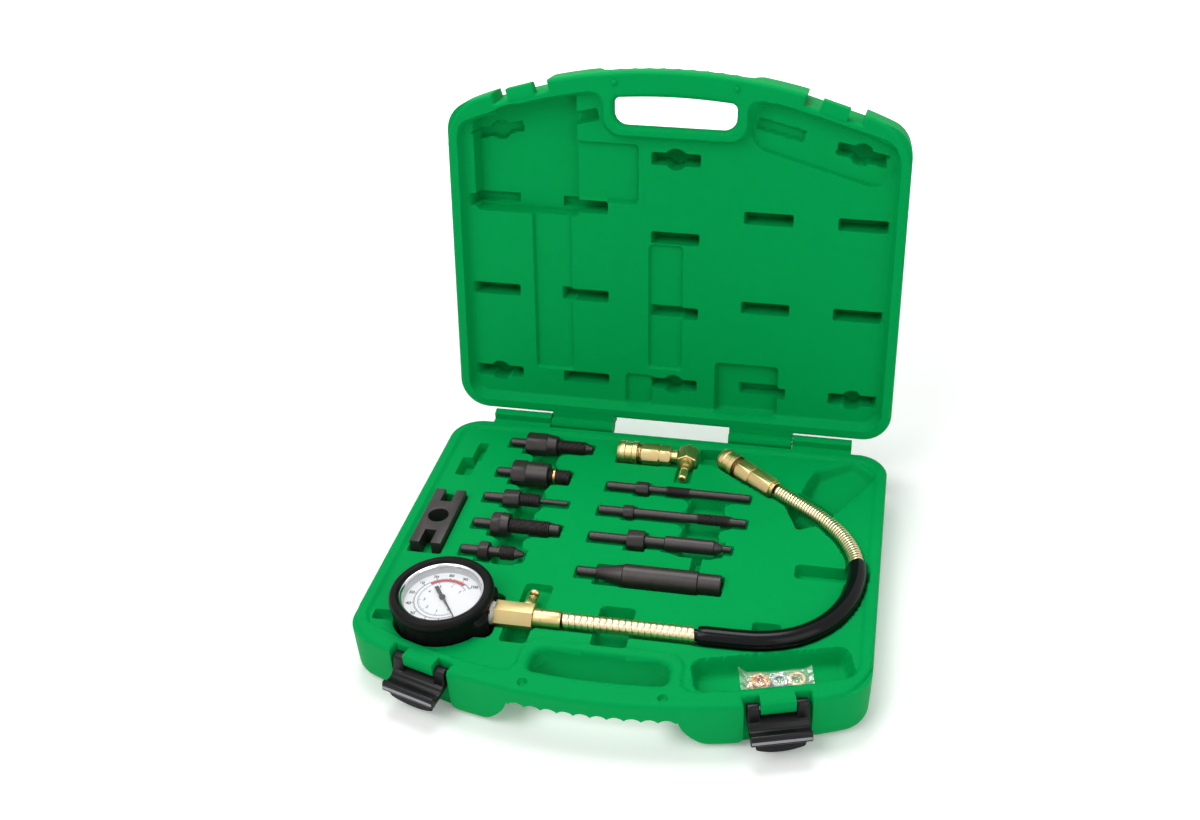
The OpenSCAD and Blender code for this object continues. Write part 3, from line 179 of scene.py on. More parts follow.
def move_points(mesh, change):
    """Gives a mesh the points change(points), in millimetres."""
    co = np.empty(len(mesh.vertices) * 3)
    mesh.vertices.foreach_get("co", co)
    mesh.vertices.foreach_set("co", (change(co.reshape(-1, 3) / MM) * MM).ravel())


def shade(mesh, crease):
    """Smooth shading; edges sharper than crease degrees stay sharp, or none if crease is 0."""
    mesh.shade_smooth()
    if crease:
        mesh.set_sharp_from_angle(angle=math.radians(crease))


def declare(obj, body, slot, *replaced):
    """Tells the frame an object's body by parenting it to that body's empty, and hides the nodes that it
    stands for; slot is not used.
    """
    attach(obj, body)
    if replaced:
        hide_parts(*replaced)


def add_piece(name, part, body, slot, finish, crease=35, replaces=True):
    """Piece at the origin from a part; it replaces the node of its own name."""
    mesh = new_mesh(name, part)
    mesh.validate()
    shade(mesh, crease)
    mesh.materials.append(MATERIALS[finish])
    obj = linked(name, mesh)
    declare(obj, body, slot, *((name,) if replaces else ()))
    return obj


def softened(name, body, slot, finish, width):
    """Copy of a CAD node with its seams merged, its flat faces joined and its edges rounded to width
    millimetres."""
    work = bmesh.new()
    work.from_mesh(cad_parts[name].data)
    bmesh.ops.remove_doubles(work, verts=work.verts, dist=0.02 * MM)
    bmesh.ops.dissolve_limit(work, angle_limit=math.radians(2), verts=work.verts, edges=work.edges)
    mesh = bpy.data.meshes.new(name + "_rounded")
    work.to_mesh(mesh)
    work.free()
    mesh.materials.append(MATERIALS[finish])
    obj = linked(name + "_rounded", mesh)
    mod = obj.modifiers.new("edges", "BEVEL")
    mod.limit_method, mod.angle_limit = "ANGLE", math.radians(28)
    mod.width, mod.segments, mod.use_clamp_overlap = width * MM, 3, True
    apply_modifiers(obj)
    shade(obj.data, 40)
    declare(obj, body, slot, name)


def dress(name, finish):
    """Gives a CAD node its material."""
    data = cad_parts[name].data
    data.materials.clear()
    data.materials.append(MATERIALS[finish])


def cut(obj, part):
    """Boolean difference of obj and a closed part, applied to obj's mesh."""
    mesh = new_mesh("cutter", part)
    tool = linked("cutter", mesh)
    mod = obj.modifiers.new("cut", "BOOLEAN")
    mod.operation, mod.solver, mod.object = "DIFFERENCE", "EXACT", tool
    apply_modifiers(obj)
    bpy.data.objects.remove(tool)
    bpy.data.meshes.remove(mesh)


def add_shells(obj, parts):
    """Adds closed parts to an object's mesh."""
    mesh = new_mesh("shells", join_parts(*parts))
    mesh.materials.append(obj.data.materials[0])
    extra = linked("shells", mesh)
    with bpy.context.temp_override(active_object=obj, selected_editable_objects=[obj, extra], object=obj):
        bpy.ops.object.join()


# Parts: points in millimetres and faces

def cos_sin(degrees):
    """Cosine and sine of an angle in degrees."""
    return math.cos(math.radians(degrees)), math.sin(math.radians(degrees))


def circle(n):
    """Cosines and sines of n even angles."""
    a = np.linspace(0, 2 * np.pi, n, endpoint=False)
    return np.cos(a), np.sin(a)


def arc_points(cx, cy, r, a0, a1, n):
    """Points of an arc from a0 to a1 degrees."""
    a = np.radians(np.linspace(a0, a1, n))
    return np.stack([cx + r * np.cos(a), cy + r * np.sin(a)], 1)


def grid_faces(rows, cols, wrap):
    """Quads of a rows by cols grid of points; wrap joins the last column to the first."""
    i, j = np.meshgrid(np.arange(rows - 1), np.arange(cols if wrap else cols - 1), indexing="ij")
    k = (j + 1) % cols
    quads = np.stack([i * cols + j, i * cols + k, (i + 1) * cols + k, (i + 1) * cols + j], axis=-1)
    return quads.reshape(-1, 4)


def join_parts(*parts):
    """One part from several."""
    points, faces, first = [], [], 0
    for p, f in parts:
        points.append(np.asarray(p, dtype=float))
        faces += [[int(v) + first for v in face] for face in f]
        first += len(p)
    return np.concatenate(points), faces


def placed(part, origin, turn=0.0):
    """Part turned about Z by an angle in degrees and moved to origin."""
    points, faces = part
    c, s = cos_sin(turn)
    return points @ np.array([[c, s, 0], [-s, c, 0], [0, 0, 1]]) + np.array(origin), faces


def upright(part, origin):
    """Part along +X stood up along +Z: x' = -z, z' = x, then moved to origin."""
    points, faces = part
    return np.stack([-points[:, 2], points[:, 1], points[:, 0]], 1) + np.array(origin), faces


def flipped(part, height):
    """Part mirrored in height: z' = height - z."""
    points, faces = part
    return points * np.array([1, 1, -1]) + np.array([0, 0, height]), [f[::-1] for f in faces]


def turned_x(points, degrees, y0=0.0, z0=0.0):
    """Points turned about the line along X through (y0, z0)."""
    c, s = cos_sin(degrees)
    y, z = points[:, 1] - y0, points[:, 2] - z0
    return np.stack([points[:, 0], y0 + y * c - z * s, z0 + y * s + z * c], 1)


def facing_in(points, quads):
    """Whether the sum of p0 . (p1 x p2) over the quads, taken about the points' mean, is negative."""
    a, b, c = (points[quads[:, k]] - points.mean(0) for k in range(3))
    return np.sum(a * np.cross(b, c)) < 0


def capped_grid(points, rows, n):
    """Closed tube of rows rings with n points each, both ends closed and its faces turned outwards."""
    points = np.asarray(points, dtype=float).reshape(-1, 3)
    sides = grid_faces(rows, n, True)
    faces = sides.tolist() + [list(range(n))[::-1], list(range((rows - 1) * n, rows * n))]
    return points, [f[::-1] for f in faces] if facing_in(points, sides) else faces


def swept(middle, out, side, u, v):
    """Closed bar along a line of points: middle + u out + v side for each point (u, v) of its section."""
    points = middle[:, None] + u[:, None] * out[:, None] + v[:, None] * side[:, None]
    return capped_grid(points, len(middle), len(u))


def wound(middle, out, u, v):
    """Wire along a line of points: middle + u out + v side, side being the line's heading x out."""
    run = np.gradient(middle, axis=0)
    return swept(middle, out, np.cross(run / np.linalg.norm(run, axis=1, keepdims=True), out), u, v)


def lathe(stations, around=64):
    """Turned piece along +X. Each station is (x, r, af, pitch, depth): the radius at angle a is r, cut by a
    hexagon of width af (af / 2 / cos of the angle to the nearest flat) where af is not 0, less a helical
    thread groove, depth * (0.5 + 0.5 cos(2 pi x / pitch - a)), where pitch is not 0. Both ends are
    closed."""
    s = np.array([tuple(q) + (0,) * (5 - len(q)) for q in stations], dtype=float)
    x, r, af, pitch, depth = s.T[:, :, None]
    a = np.linspace(0, 2 * np.pi, around, endpoint=False)
    flat = np.mod(a - np.pi / 2 + np.pi / 6, np.pi / 3) - np.pi / 6
    rad = np.where(af > 0, np.minimum(r, af / 2 / np.cos(flat)), r + 0 * a)
    groove = depth * (0.5 + 0.5 * np.cos(2 * np.pi * x / np.maximum(pitch, 1e-6) - a))
    rad = rad - np.where(pitch > 0, groove, 0)
    return capped_grid(np.stack([x + 0 * a, rad * np.cos(a), rad * np.sin(a)], -1), len(s), around)


def turned_ring(profile, around=96):
    """Ring turned about X: a closed (x, r) profile carried round the axis, closed both ways."""
    x, r = np.asarray(profile, dtype=float).T[:, :, None]
    c, s = circle(around)
    points = np.stack([x + 0 * c, r * c, r * s], -1).reshape(-1, 3)
    quads = grid_faces(len(x) + 1, around, True) % len(points)
    return points, (quads[:, ::-1] if facing_in(points, quads) else quads).tolist()


def carried(profile, along, axis):
    """Points of a plan profile at one place along an axis: x carries (y, z), y carries (x, z), z carries
    (x, y)."""
    u, v = profile[..., 0], profile[..., 1]
    w = np.broadcast_to(along, u.shape)
    return np.stack({"x": (w, u, v), "y": (u, w, v), "z": (u, v, w)}[axis], -1)


def extruded(profile, lo, hi, axis="x"):
    """Prism of a closed plan profile between lo and hi along an axis."""
    p = np.asarray(profile, dtype=float)
    return capped_grid(np.stack([carried(p, lo, axis), carried(p, hi, axis)]), 2, len(p))


def eased(corners, r, n=5):
    """Closed outline with each corner eased by a parabola that starts r before it and ends r after it."""
    c = np.asarray(corners, dtype=float)
    before, after = np.roll(c, 1, 0) - c, np.roll(c, -1, 0) - c
    lb, la = np.linalg.norm(before, axis=1), np.linalg.norm(after, axis=1)
    reach = np.minimum(r, np.minimum(lb, la) * 0.45)
    a, b = c + before * (reach / lb)[:, None], c + after * (reach / la)[:, None]
    s = np.linspace(0, 1, n)[None, :, None]
    return (a[:, None] * (1 - s) ** 2 + 2 * c[:, None] * s * (1 - s) + b[:, None] * s ** 2).reshape(-1, 2)


def soft_prism(profile, lo, hi, r, axis="x"):
    """Prism with rounded ends: the profile is set in by r (1 - sin t) at r (1 - cos t) from each end, t
    from 0 to 90 degrees."""
    p = np.asarray(profile, dtype=float)
    s = np.radians(np.linspace(0, 90, 5))
    run, inset = r * (1 - np.cos(s)), r * (1 - np.sin(s))
    at, inset = np.concatenate([lo + run, (hi - run)[::-1]]), np.concatenate([inset, inset[::-1]])
    tangent = np.roll(p, -1, 0) - np.roll(p, 1, 0)
    normal = np.stack([tangent[:, 1], -tangent[:, 0]], 1) / np.linalg.norm(tangent, axis=1, keepdims=True)
    if np.sum(p[:, 0] * np.roll(p[:, 1], -1) - np.roll(p[:, 0], -1) * p[:, 1]) < 0:
        normal = -normal
    rings = p[None] - inset[:, None, None] * normal[None]
    return capped_grid(carried(rings, at[:, None], axis), len(at), len(p))


def coil_part(r, wire, length, turns):
    """Coil spring along +X: the wire's middle runs on x = wire / 2 + (length - wire) f / (2 pi turns) at
    radius r."""
    f = np.linspace(0, 2 * np.pi * turns, 28 * turns + 1)
    out = np.stack([0 * f, np.cos(f), np.sin(f)], 1)
    middle = r * out
    middle[:, 0] = wire / 2 + (length - wire) * f / f[-1]
    c, s = circle(10)
    return wound(middle, out, wire / 2 * c, wire / 2 * s)


# Plan distances: negative inside, in millimetres

def rounded_corner(a, b, r):
    """Distance to where two edges at distances a and b meet, rounded to r: |max(q, 0)| + min(max(q), 0) -
    r."""
    return np.hypot(np.maximum(a, 0), np.maximum(b, 0)) + np.minimum(np.maximum(a, b), 0) - r


def rounded_box(x, y, cx, cy, length, width, radius, turn=0.0):
    """Distance to a rounded rectangle turned by an angle, from q = |p| - half + r."""
    c, s = cos_sin(turn)
    u, v = (x - cx) * c + (y - cy) * s, (y - cy) * c - (x - cx) * s
    radius = min(radius, length / 2 - 0.01, width / 2 - 0.01)
    return rounded_corner(np.abs(u) - length / 2 + radius, np.abs(v) - width / 2 + radius, radius)


def span_box(x, y, x0, x1, y0, y1, radius=1.8):
    """Distance to an upright rounded rectangle given by its sides."""
    return rounded_box(x, y, (x0 + x1) / 2, (y0 + y1) / 2, x1 - x0, y1 - y0, radius)


def disc(x, y, cx, cy, r):
    """Distance to a disc."""
    return np.hypot(x - cx, y - cy) - r


def band(x, y, points, half):
    """Distance to a polyline, less half its width: the least over segments of |p - a - t (b - a)| with t in
    0..1."""
    best = np.full(x.shape, 1e9)
    for (ax, ay), (bx, by) in zip(points[:-1], points[1:]):
        dx, dy = bx - ax, by - ay
        t = np.clip(((x - ax) * dx + (y - ay) * dy) / (dx * dx + dy * dy), 0, 1)
        best = np.minimum(best, np.hypot(x - ax - t * dx, y - ay - t * dy))
    return best - half


def polygon_distance(x, y, corners, radius):
    """Distance to a convex polygon given anticlockwise: the greatest of its edge distances, softened by
    radius."""
    sides = []
    for (ax, ay), (bx, by) in zip(corners, corners[1:] + corners[:1]):
        length = math.hypot(bx - ax, by - ay)
        sides.append(((x - ax) * (by - ay) - (y - ay) * (bx - ax)) / length + radius)
    *_, b, a = np.sort(np.stack(sides), axis=0)
    return np.where((a > 0) & (b > 0), np.hypot(a, b), a) - radius


def outline_distance(x, y):
    """Distance to the case's outline: bowed front, straight sides and back, corners of the mean radius."""
    r = (FRONT_CORNER_R + BACK_CORNER_R) / 2
    front_back = np.maximum(disc(x, y, 0, ARC_Y, FRONT_R - r), y - (BACK_Y - r))
    return rounded_corner(np.abs(x) - (CASE_W / 2 - r), front_back, r)


def soft_max(a, b, k):
    """Greatest of two distances with a fillet of about k: max + k h^2 / 4 with h = max(1 - |a - b| / k,
    0)."""
    return np.maximum(a, b) + np.maximum(1 - np.abs(a - b) / k, 0) ** 2 * k / 4


def hand_hole(x, y):
    """Distance to the hand hole: a stadium that reaches forward to the grip bar's bowed inner side, round
    corners."""
    stadium = rounded_box(x, y, 0, GRIP_Y1 - GRIP_END_R, 2 * GRIP_HALF_W, 2 * GRIP_END_R, GRIP_END_R)
    bow = disc(x, y, 0, ARC_Y, FRONT_R - GRIP_BAR_W - GRIP_CORNER)
    front = rounded_corner(np.abs(x) - (GRIP_HALF_W - GRIP_CORNER), bow, GRIP_CORNER)
    return np.minimum(stadium, np.maximum(front, y - GRIP_Y1 + GRIP_END_R))


def latch_frame(side):
    """Origin and turn in degrees of a latch: X along the edge, -Y outwards."""
    return (side * LATCH_X, ARC_Y - FRONT_R * math.cos(LATCH_TURN), 0.0), math.degrees(side * LATCH_TURN)


def latch_recess(x, y):
    """Distance to the two latch recesses in plan, each a box that reaches 30 mm past the edge."""
    ends, reach = [], LATCH_RECESS + 30
    for (cx, cy, _), turn in map(latch_frame, SIDES):
        c, s = cos_sin(turn)
        out = reach / 2 - LATCH_RECESS
        ends.append(rounded_box(x, y, cx + out * s, cy - out * c, LATCH_W + 5, reach, 0.5, turn))
    return np.minimum(*ends)


def inside_rim(x, y):
    """Distance to the floor inside the rim: set in at the sides and the front, round the hand hole with
    fillets."""
    fillet = 14
    d = np.maximum(outline_distance(x, y) + RIM_SIDE, disc(x, y, 0, ARC_Y, FRONT_R - RIM_FRONT))
    pad = rounded_box(x, y, 0, GRIP_Y1 - GRIP_END_R - 4, 2 * GRIP_HALF_W + 16, 44, fillet)
    return soft_max(d, -pad, fillet)


def edge_round(d, r):
    """Drop of an edge rounded to radius r at distance d inside it: r - sqrt(r^2 - (r - d)^2)."""
    t = np.clip(r - d, 0, r)
    return r - np.sqrt(r * r - t * t)


# Adapters: segments of length, two diameters, kind and pitch

def bar(length, d1, d2=None):
    """Round or tapered segment."""
    return length, d1, d2 or d1, "round", 0


def hexagon(length, af):
    """Hexagonal segment."""
    return length, af, af, "hex", 0


def thread(length, d, pitch=1.25):
    """Threaded segment."""
    return length, d, d, "thread", pitch


LEFT_X, RIGHT_X, NIPPLE = -131.0, -38.0, 7.0
ADAPTERS = [
    (LEFT_X, 126.0, [bar(14, NIPPLE), hexagon(18, 17), bar(8, 18, 16), thread(24, 11), bar(6, 8, 6)]),
    (LEFT_X, 85.0, [bar(13, NIPPLE), hexagon(12, 19), bar(18, 20), thread(17, 12)]),
    (LEFT_X - 1, 51.5, [bar(16, NIPPLE), hexagon(13, 13), thread(16, 11), bar(23, 4)]),
    (LEFT_X, 19.0, [bar(15, NIPPLE), hexagon(7.5, 17), bar(6.5, 19.5, 18), thread(31.5, 12), bar(8, 9)]),
    (LEFT_X, -13.0, [bar(14, NIPPLE), hexagon(7.5, 13), bar(9, 8), thread(11, 11), bar(7, 9, 4)]),
    (RIGHT_X, 80.0, [bar(24, NIPPLE), hexagon(10, 10), bar(15, 6), thread(18, 8, 1.0), bar(49, 6.4)]),
    (RIGHT_X, 49.0, [bar(20, NIPPLE), hexagon(8, 10), bar(51, 7.6), thread(25, 9, 1.0), bar(13, 6.4)]),
    (RIGHT_X, 16.5, [bar(30, NIPPLE), hexagon(13, 14), bar(16, 8.4), bar(38, 11.6), bar(6, 11, 6),
                     bar(7, 5)]),
    (RIGHT_X, -24.0, [bar(15, NIPPLE), bar(20, 9, 16), bar(56, 17.4), bar(17, 15)]),
]
# Copper ring on the second adapter: start, width, inner and outer radius
RING_AT, RING_W, RING_R0, RING_R1 = 47.0, 2.0, 5.4, 6.6


def segment_stations(segments, bevel=0.4):
    """Stations of stacked segments with bevelled ends, for the lathe."""
    out, x = [], 0.0
    for length, d1, d2, kind, pitch in segments:
        end, e = x + length, min(bevel, length / 4)
        if kind == "hex":
            corner = d1 / 2 / COS30 * 0.985
            out += [(x, d1 * 0.5, d1), (x, d1 * 0.515, d1), (x + 1.1, corner, d1), (end - 1.1, corner, d1),
                    (end, d1 * 0.515, d1)]
        elif kind == "thread":
            run = np.linspace(x + e, end - e, int(length / pitch * 8) + 1)
            out += [(x, d1 / 2 - pitch * 0.6)] + [(at, d1 / 2, 0, pitch, pitch * 0.55) for at in run]
            out += [(end, d2 / 2 - pitch * 0.6)]
        else:
            out += [(x, d1 / 2 - e), (x + e, d1 / 2), (end - e, d2 / 2), (end, d2 / 2 - e)]
        x = end
    return out


def hexagon_stations(x0, x1, af):
    """Stations of a hexagon between x0 and x1 with chamfered corners at both ends."""
    corner = af / 2 / COS30 * 0.985
    return [(x0, af * 0.505, af), (x0 + 1.0, corner, af), (x1 - 1.0, corner, af), (x1, af * 0.505, af),
            (x1, 2.5)]


# Moulded case

# Tight pockets of the base: x0, x1, y0, y1, corner radius, depth below the tray
BOOT_DEPTH = TRAY_Z - 22.7
TIGHT = [
    # The gauge's lobes, its stem and block, the ferrule and the release valve
    (GAUGE_X + 20, GAUGE_X + 41, GAUGE_Y - 23, GAUGE_Y + 23, 7.0, BOOT_DEPTH),
    (GAUGE_X + 20, -54.8, GAUGE_Y - 11, GAUGE_Y + 11, 1.8, 8.8 - AXIS_UP),
    (-57, -35, GAUGE_Y - 7.8, GAUGE_Y + 7.8, 1.8, 6.9 - AXIS_UP),
    (-72, -51, GAUGE_Y, -43, 4.0, 5.5),
    # The angle adapter's sleeve, nut, block and nipple, and the finger hole beside it
    (-39.2, -1.0, 110.6, 134.7, 1.8, 7.8),
    (-4.0, 13.0, 111.4, 133.9, 1.8, 5.8),
    (0.8, 30.2, 111.6, 133.7, 1.8, 5.8),
    (13.6, 27.4, 91.4, 124, 1.8, 3.3),
    (29, 52, 119, 140, 3.0, 9.0),
    # The clamp and the two steps of the spare pocket
    (-171.95, -145.05, -22.2, 49.2, 1.5, 8.3),
    (-164.5, -151.5, 75, 99, 2.5, 10.0),
    (-157.5, -149.0, 95, 120, 2.5, 8.0)]
# Finger scoops, the same way: across the two columns of adapters, then beside the other tools
SCOOPS = [
    (-107, -87, -25, 126, 5.0, 14.0), (31, 60, 4, 80, 5.0, 12.0), (44, 52, -20, 8, 2.0, 10.0),
    (122, 178, -8, 8, 4.0, 9.0), (-12, 14, -100, -58, 4.0, 11.0), (98, 119, -76, -58, 3.0, 7.0),
    (-76, -56, -104, -80, 3.0, 14.0), (-172, -150, -96, -86, 2.0, 8.0)]
# Slots of the lid: distance from the middle and from the back, turn, whether round in the middle,
# depth past the panel
SLOTS = [
    (75.5, 32.5, 0, False, 17), (151, 32.5, 0, True, 17), (75.5, 108.5, 0, False, 17),
    (151, 108.5, 0, False, 17), (75.5, 186, 0, False, 17), (151, 186, 0, False, 17),
    (146, 243, 13, True, 17), (82, 259, 13, False, 8),
    (0, 33, 0, True, 17), (0, 99, 0, False, 17), (0, 164, 0, False, 17), (0, 230.5, 0, True, 17)]
# Reliefs of the lid over the valve, the adapters, the angle adapter and the coupler: x0, x1, y0, y1, depth
RELIEFS = [
    (-84, -30, -90, -40, 4.5), (-119, -86, -30, 113, 3.0), (-22, 7, -7, 105, 3.0),
    (-41.5, -18, 111, 140, 3.5), (35, 89, 94, 140.5, 6.5)]


def adapter_pockets(x, y):
    """Distance, depth below the tray and wall width of each adapter's stepped pocket."""
    spans = []
    for at, cy, segments in ADAPTERS:
        for length, d1, d2, kind, _ in segments:
            wide = max(d1, d2) / 2
            half = (wide / COS30 if kind == "hex" else wide) + POCKET_CLEAR
            spans.append((at, at + length, cy, half, wide + POCKET_DEEPER))
            at += length
    ring_x = LEFT_X + RING_AT
    spans.append((ring_x, ring_x + RING_W, ADAPTERS[1][1], RING_R1 + 1.2, RING_R1))
    return [(span_box(x, y, x0 - POCKET_CLEAR, x1 + POCKET_CLEAR, cy - half - FINGER_ROOM, cy + half),
             depth + SEAT_GAP, WALL) for x0, x1, cy, half, depth in spans]


def base_pockets(x, y):
    """Distance, depth below the tray and wall width of every pocket, channel and scoop of the base."""
    tools = adapter_pockets(x, y)
    scoops = [(span_box(x, y, *span), depth, SCOOP_WALL) for *span, depth in SCOOPS]
    tight = [(span_box(x, y, *span), depth) for *span, depth in TIGHT]
    tight.append((disc(x, y, GAUGE_X, GAUGE_Y, 37.2), BOOT_DEPTH))
    for first, last, half in ((0, COVER_FIRST, 7.6), (COVER_FIRST, COVER_LAST, 8.4),
                              (COVER_LAST, HOSE_LAST, 7.6)):
        tight.append((band(x, y, HOSE_ROUTE[first:last + 1], half), 5.0))
    c, s = cos_sin(COUPLER_TURN)
    for at, length, width, depth in ((42.1, 38.2, 21.4, 9.8), (12.5, 29.0, 19.8, 7.8)):
        cx, cy = HOSE_ROUTE[-1] + at * np.array([c, s])
        tight.append((rounded_box(x, y, cx, cy, length, width, 2.0, COUPLER_TURN), depth - AXIS_UP))
    # Fillets between the adapters' pockets and their scoops, then the sockets in the front rim
    nearest = np.min(np.stack([d for d, _, _ in tools]), axis=0)
    tight += [(-soft_max(-nearest, -scoop, 9.0), 3.6) for scoop, _, _ in scoops[:2]]
    tight.append((disc(x, y, -78, -133, 1.6), 1.2))
    tight += [(disc(x, y, side * PEG_X, PEG_Y, 3.6), 3.0) for side in SIDES]
    tray = (rounded_box(x, y, 117.5, -101.4, 112, 32, 9, 15.5), 14.0, SLOPE_WALL)
    # Trough in the corner: its floor falls by 11 degrees towards the hose
    c, s = cos_sin(61)
    floor = np.clip(26 - ((x - 119) * c + (y - 47) * s) * math.tan(math.radians(11)), 1, 26)
    mouth = [(105, 78), (119, 47), (140, 58), (147, 70), (117, 95)]
    end = [(117, 95), (147, 70), (177, 124), (158, 142), (127, 127)]
    trough = np.minimum(*(polygon_distance(x, y, corners, 3.0) for corners in (mouth, end)))
    return tools + scoops + [(d, depth, WALL) for d, depth in tight] + [tray, (trough, floor, SLOPE_WALL)]


def lid_pockets(x, y):
    """Distance, depth past the panel and wall width of every kiss-off slot and relief of the closed lid."""
    pockets = []
    for from_middle, from_back, turn, keyed, depth in SLOTS:
        for side in SIDES if from_middle else (1,):
            at = side * from_middle, BACK_Y - from_back
            d = rounded_box(x, y, *at, 40, 10.5, 1.8, side * turn)
            pockets.append((np.minimum(d, disc(x, y, *at, 9)) if keyed else d, depth))
    rim = inside_rim(x, y)
    gauge = span_box(x, y, GAUGE_X - 43, GAUGE_X + 43, FRONT_Y, GAUGE_Y + 54, 4)
    gauge = np.maximum(np.maximum(gauge, rim + 2), 4 - latch_recess(x, y))
    boot_depth = 20 - PANEL_STEP * np.clip(-rim / (0.55 * PANEL_STEP), 0, 1)
    pockets += [(gauge, 11.5), (disc(x, y, GAUGE_X, GAUGE_Y, 39.5), boot_depth)]
    pockets += [(span_box(x, y, *span, 4), depth) for *span, depth in RELIEFS]
    pockets.append((rounded_box(x, y, 117, -99.5, 118, 42, 18, 15.5), 3.0))
    return [(d, depth, WALL) for d, depth in pockets]


def corner_arc(x, r, centre_x):
    """Reach of a corner arc past its centre: sqrt(r^2 - (|x| - centre)^2), and r before the arc begins."""
    return np.sqrt(np.maximum(r ** 2 - np.maximum(np.abs(x) - centre_x, 0) ** 2, 0))


def front_edge(x):
    """Front outline: y of the bow, then of the corner arc past its tangent point."""
    bow = ARC_Y - np.sqrt(FRONT_R ** 2 - x ** 2)
    return np.where(np.abs(x) <= BOW_END_X, bow, CORNER_Y - corner_arc(x, FRONT_CORNER_R, CORNER_X))


def back_edge(x):
    """Back outline: straight, then the corner arc."""
    return REAR_Y + corner_arc(x, BACK_CORNER_R, REAR_X)


def outline_grid(pitch):
    """Plan grid that fills the outline: columns at even x and, in the corners, at even arc angles; rows
    straight in the middle and fading linearly to the front and back edges."""
    straight_y0, straight_y1 = -60, 95
    corner = CORNER_X + FRONT_CORNER_R * np.sin(np.radians(np.linspace(0, 90, 20)))
    flat = np.linspace(-CORNER_X, CORNER_X, int(2 * CORNER_X / pitch) + 1)
    xs = np.concatenate([-corner[:0:-1], flat, corner[1:]])
    x, rows = np.meshgrid(xs, np.linspace(FRONT_Y, BACK_Y, int((BACK_Y - FRONT_Y) / pitch) + 1))
    fade_front = np.clip((straight_y0 - rows) / (straight_y0 - FRONT_Y), 0, 1)
    fade_back = np.clip((rows - straight_y1) / (BACK_Y - straight_y1), 0, 1)
    return x, rows + (front_edge(x) - FRONT_Y) * fade_front + (back_edge(x) - BACK_Y) * fade_back


def moulded_depth(x, y, step, pockets_of):
    """Depth below the rim: the rounded outer edge, the rounded edges of the hand hole and the latch
    recesses, the floor's step and the deepest of the pockets' ramps."""
    deepest = np.zeros(x.shape)
    for d, depth, wall in pockets_of(x, y):
        s = np.clip(-d / wall, 0, 1)
        deepest = np.maximum(deepest, depth * (s * s * (3 - 2 * s) if wall > WALL else s))
    edges = edge_round(-outline_distance(x, y), RIM_ROUND) + edge_round(hand_hole(x, y), HOLE_ROUND)
    edges = edges + edge_round(latch_recess(x, y), RECESS_ROUND)
    return step * np.clip(-inside_rim(x, y) / max(WALL, step * 0.55), 0, 1) + deepest + edges


def edge_distance(x, y, pockets_of):
    """Distance to the nearest moulded edge: of the pockets together, or of the rim's step."""
    pocket = np.min(np.stack([d for d, _, _ in pockets_of(x, y)]), axis=0)
    rim = inside_rim(x, y)
    return np.where(np.abs(pocket) < np.abs(rim), pocket, rim)


def snapped(x, y, pockets_of, pitch):
    """Moves points near a wall onto its top or bottom edge along the distance's gradient, so that edges run
    clean."""
    h = 0.05
    d = edge_distance(x, y, pockets_of)
    gx = (edge_distance(x + h, y, pockets_of) - edge_distance(x - h, y, pockets_of)) / (2 * h)
    gy = (edge_distance(x, y + h, pockets_of) - edge_distance(x, y - h, pockets_of)) / (2 * h)
    size = np.maximum(np.hypot(gx, gy), 0.5)
    goal = np.where(np.abs(d) < 0.62 * pitch, 0.0, np.where(np.abs(d + WALL) < 0.5 * pitch, -WALL, d))
    inner = np.zeros(x.shape, dtype=bool)
    inner[2:-2, 2:-2] = True
    shift = np.where(inner, (goal - d) / size, 0)
    return x + shift * gx / size, y + shift * gy / size


def outward(x, y):
    """Unit normal of the outline at its points: from the corner arcs' centres, the bow's centre, or
    straight out."""
    ax, near = np.abs(x), 0.01
    zones = [(ax > BOW_END_X - near) & (y < CORNER_Y + near), (ax > REAR_X) & (y > REAR_Y - near),
             (y < front_edge(x) + near) & (ax <= BOW_END_X), y > BACK_Y - near]
    nx = np.select(zones, [np.sign(x) * (ax - CORNER_X), np.sign(x) * (ax - REAR_X), x, 0 * x], np.sign(x))
    ny = np.select(zones, [y - CORNER_Y, y - REAR_Y, y - ARC_Y, 1 + 0 * x], 0 * x)
    size = np.maximum(np.hypot(nx, ny), 1e-9)
    return nx / size, ny / size


def moulded_half(height, step, pockets_of, pitch):
    """One half of the case with its parting face at z = height and its outer face at z = 0: a moulded surface
    z = height - depth(x, y), a drafted outer wall with a round edge, and a flat outer face."""
    x, y = outline_grid(pitch)
    rows, cols = x.shape
    x, y = snapped(x, y, pockets_of, pitch)
    top = np.stack([x, y, height - moulded_depth(x, y, step, pockets_of)], -1).reshape(-1, 3)
    index = np.arange(rows * cols).reshape(rows, cols)
    loop = np.concatenate([index[0, :], index[1:, -1], index[-1, -2::-1], index[-2:0:-1, 0]])
    edge = top[loop]
    nx, ny = outward(edge[:, 0], edge[:, 1])
    levels = [(RIM_ROUND + RECESS_ROUND + 0.5, 0.05), (height / 2, WALL_DRAFT / 2)]
    levels += [(height - SHELL_ROUND * (1 - math.cos(a)), WALL_DRAFT + SHELL_ROUND * (1 - math.sin(a)))
               for a in np.radians(np.linspace(90, 0, 9))]
    levels.append((height, WALL_DRAFT + SHELL_ROUND + 2.0))
    n = len(edge)
    rings = [np.stack([edge[:, 0] - inset * nx, edge[:, 1] - inset * ny, np.full(n, height - drop)], 1)
             for drop, inset in levels]
    number = np.concatenate([loop, rows * cols + np.arange(len(rings) * n)])
    faces = grid_faces(rows, cols, False).tolist()
    faces += number[grid_faces(len(rings) + 1, n, True)][:, ::-1].tolist()
    faces.append(number[-n:][::-1].tolist())
    return np.concatenate([top] + rings), faces


def mirrored(right):
    """Outline whose left half mirrors the right one."""
    return np.concatenate([right, right[::-1] * np.array([-1, 1])])


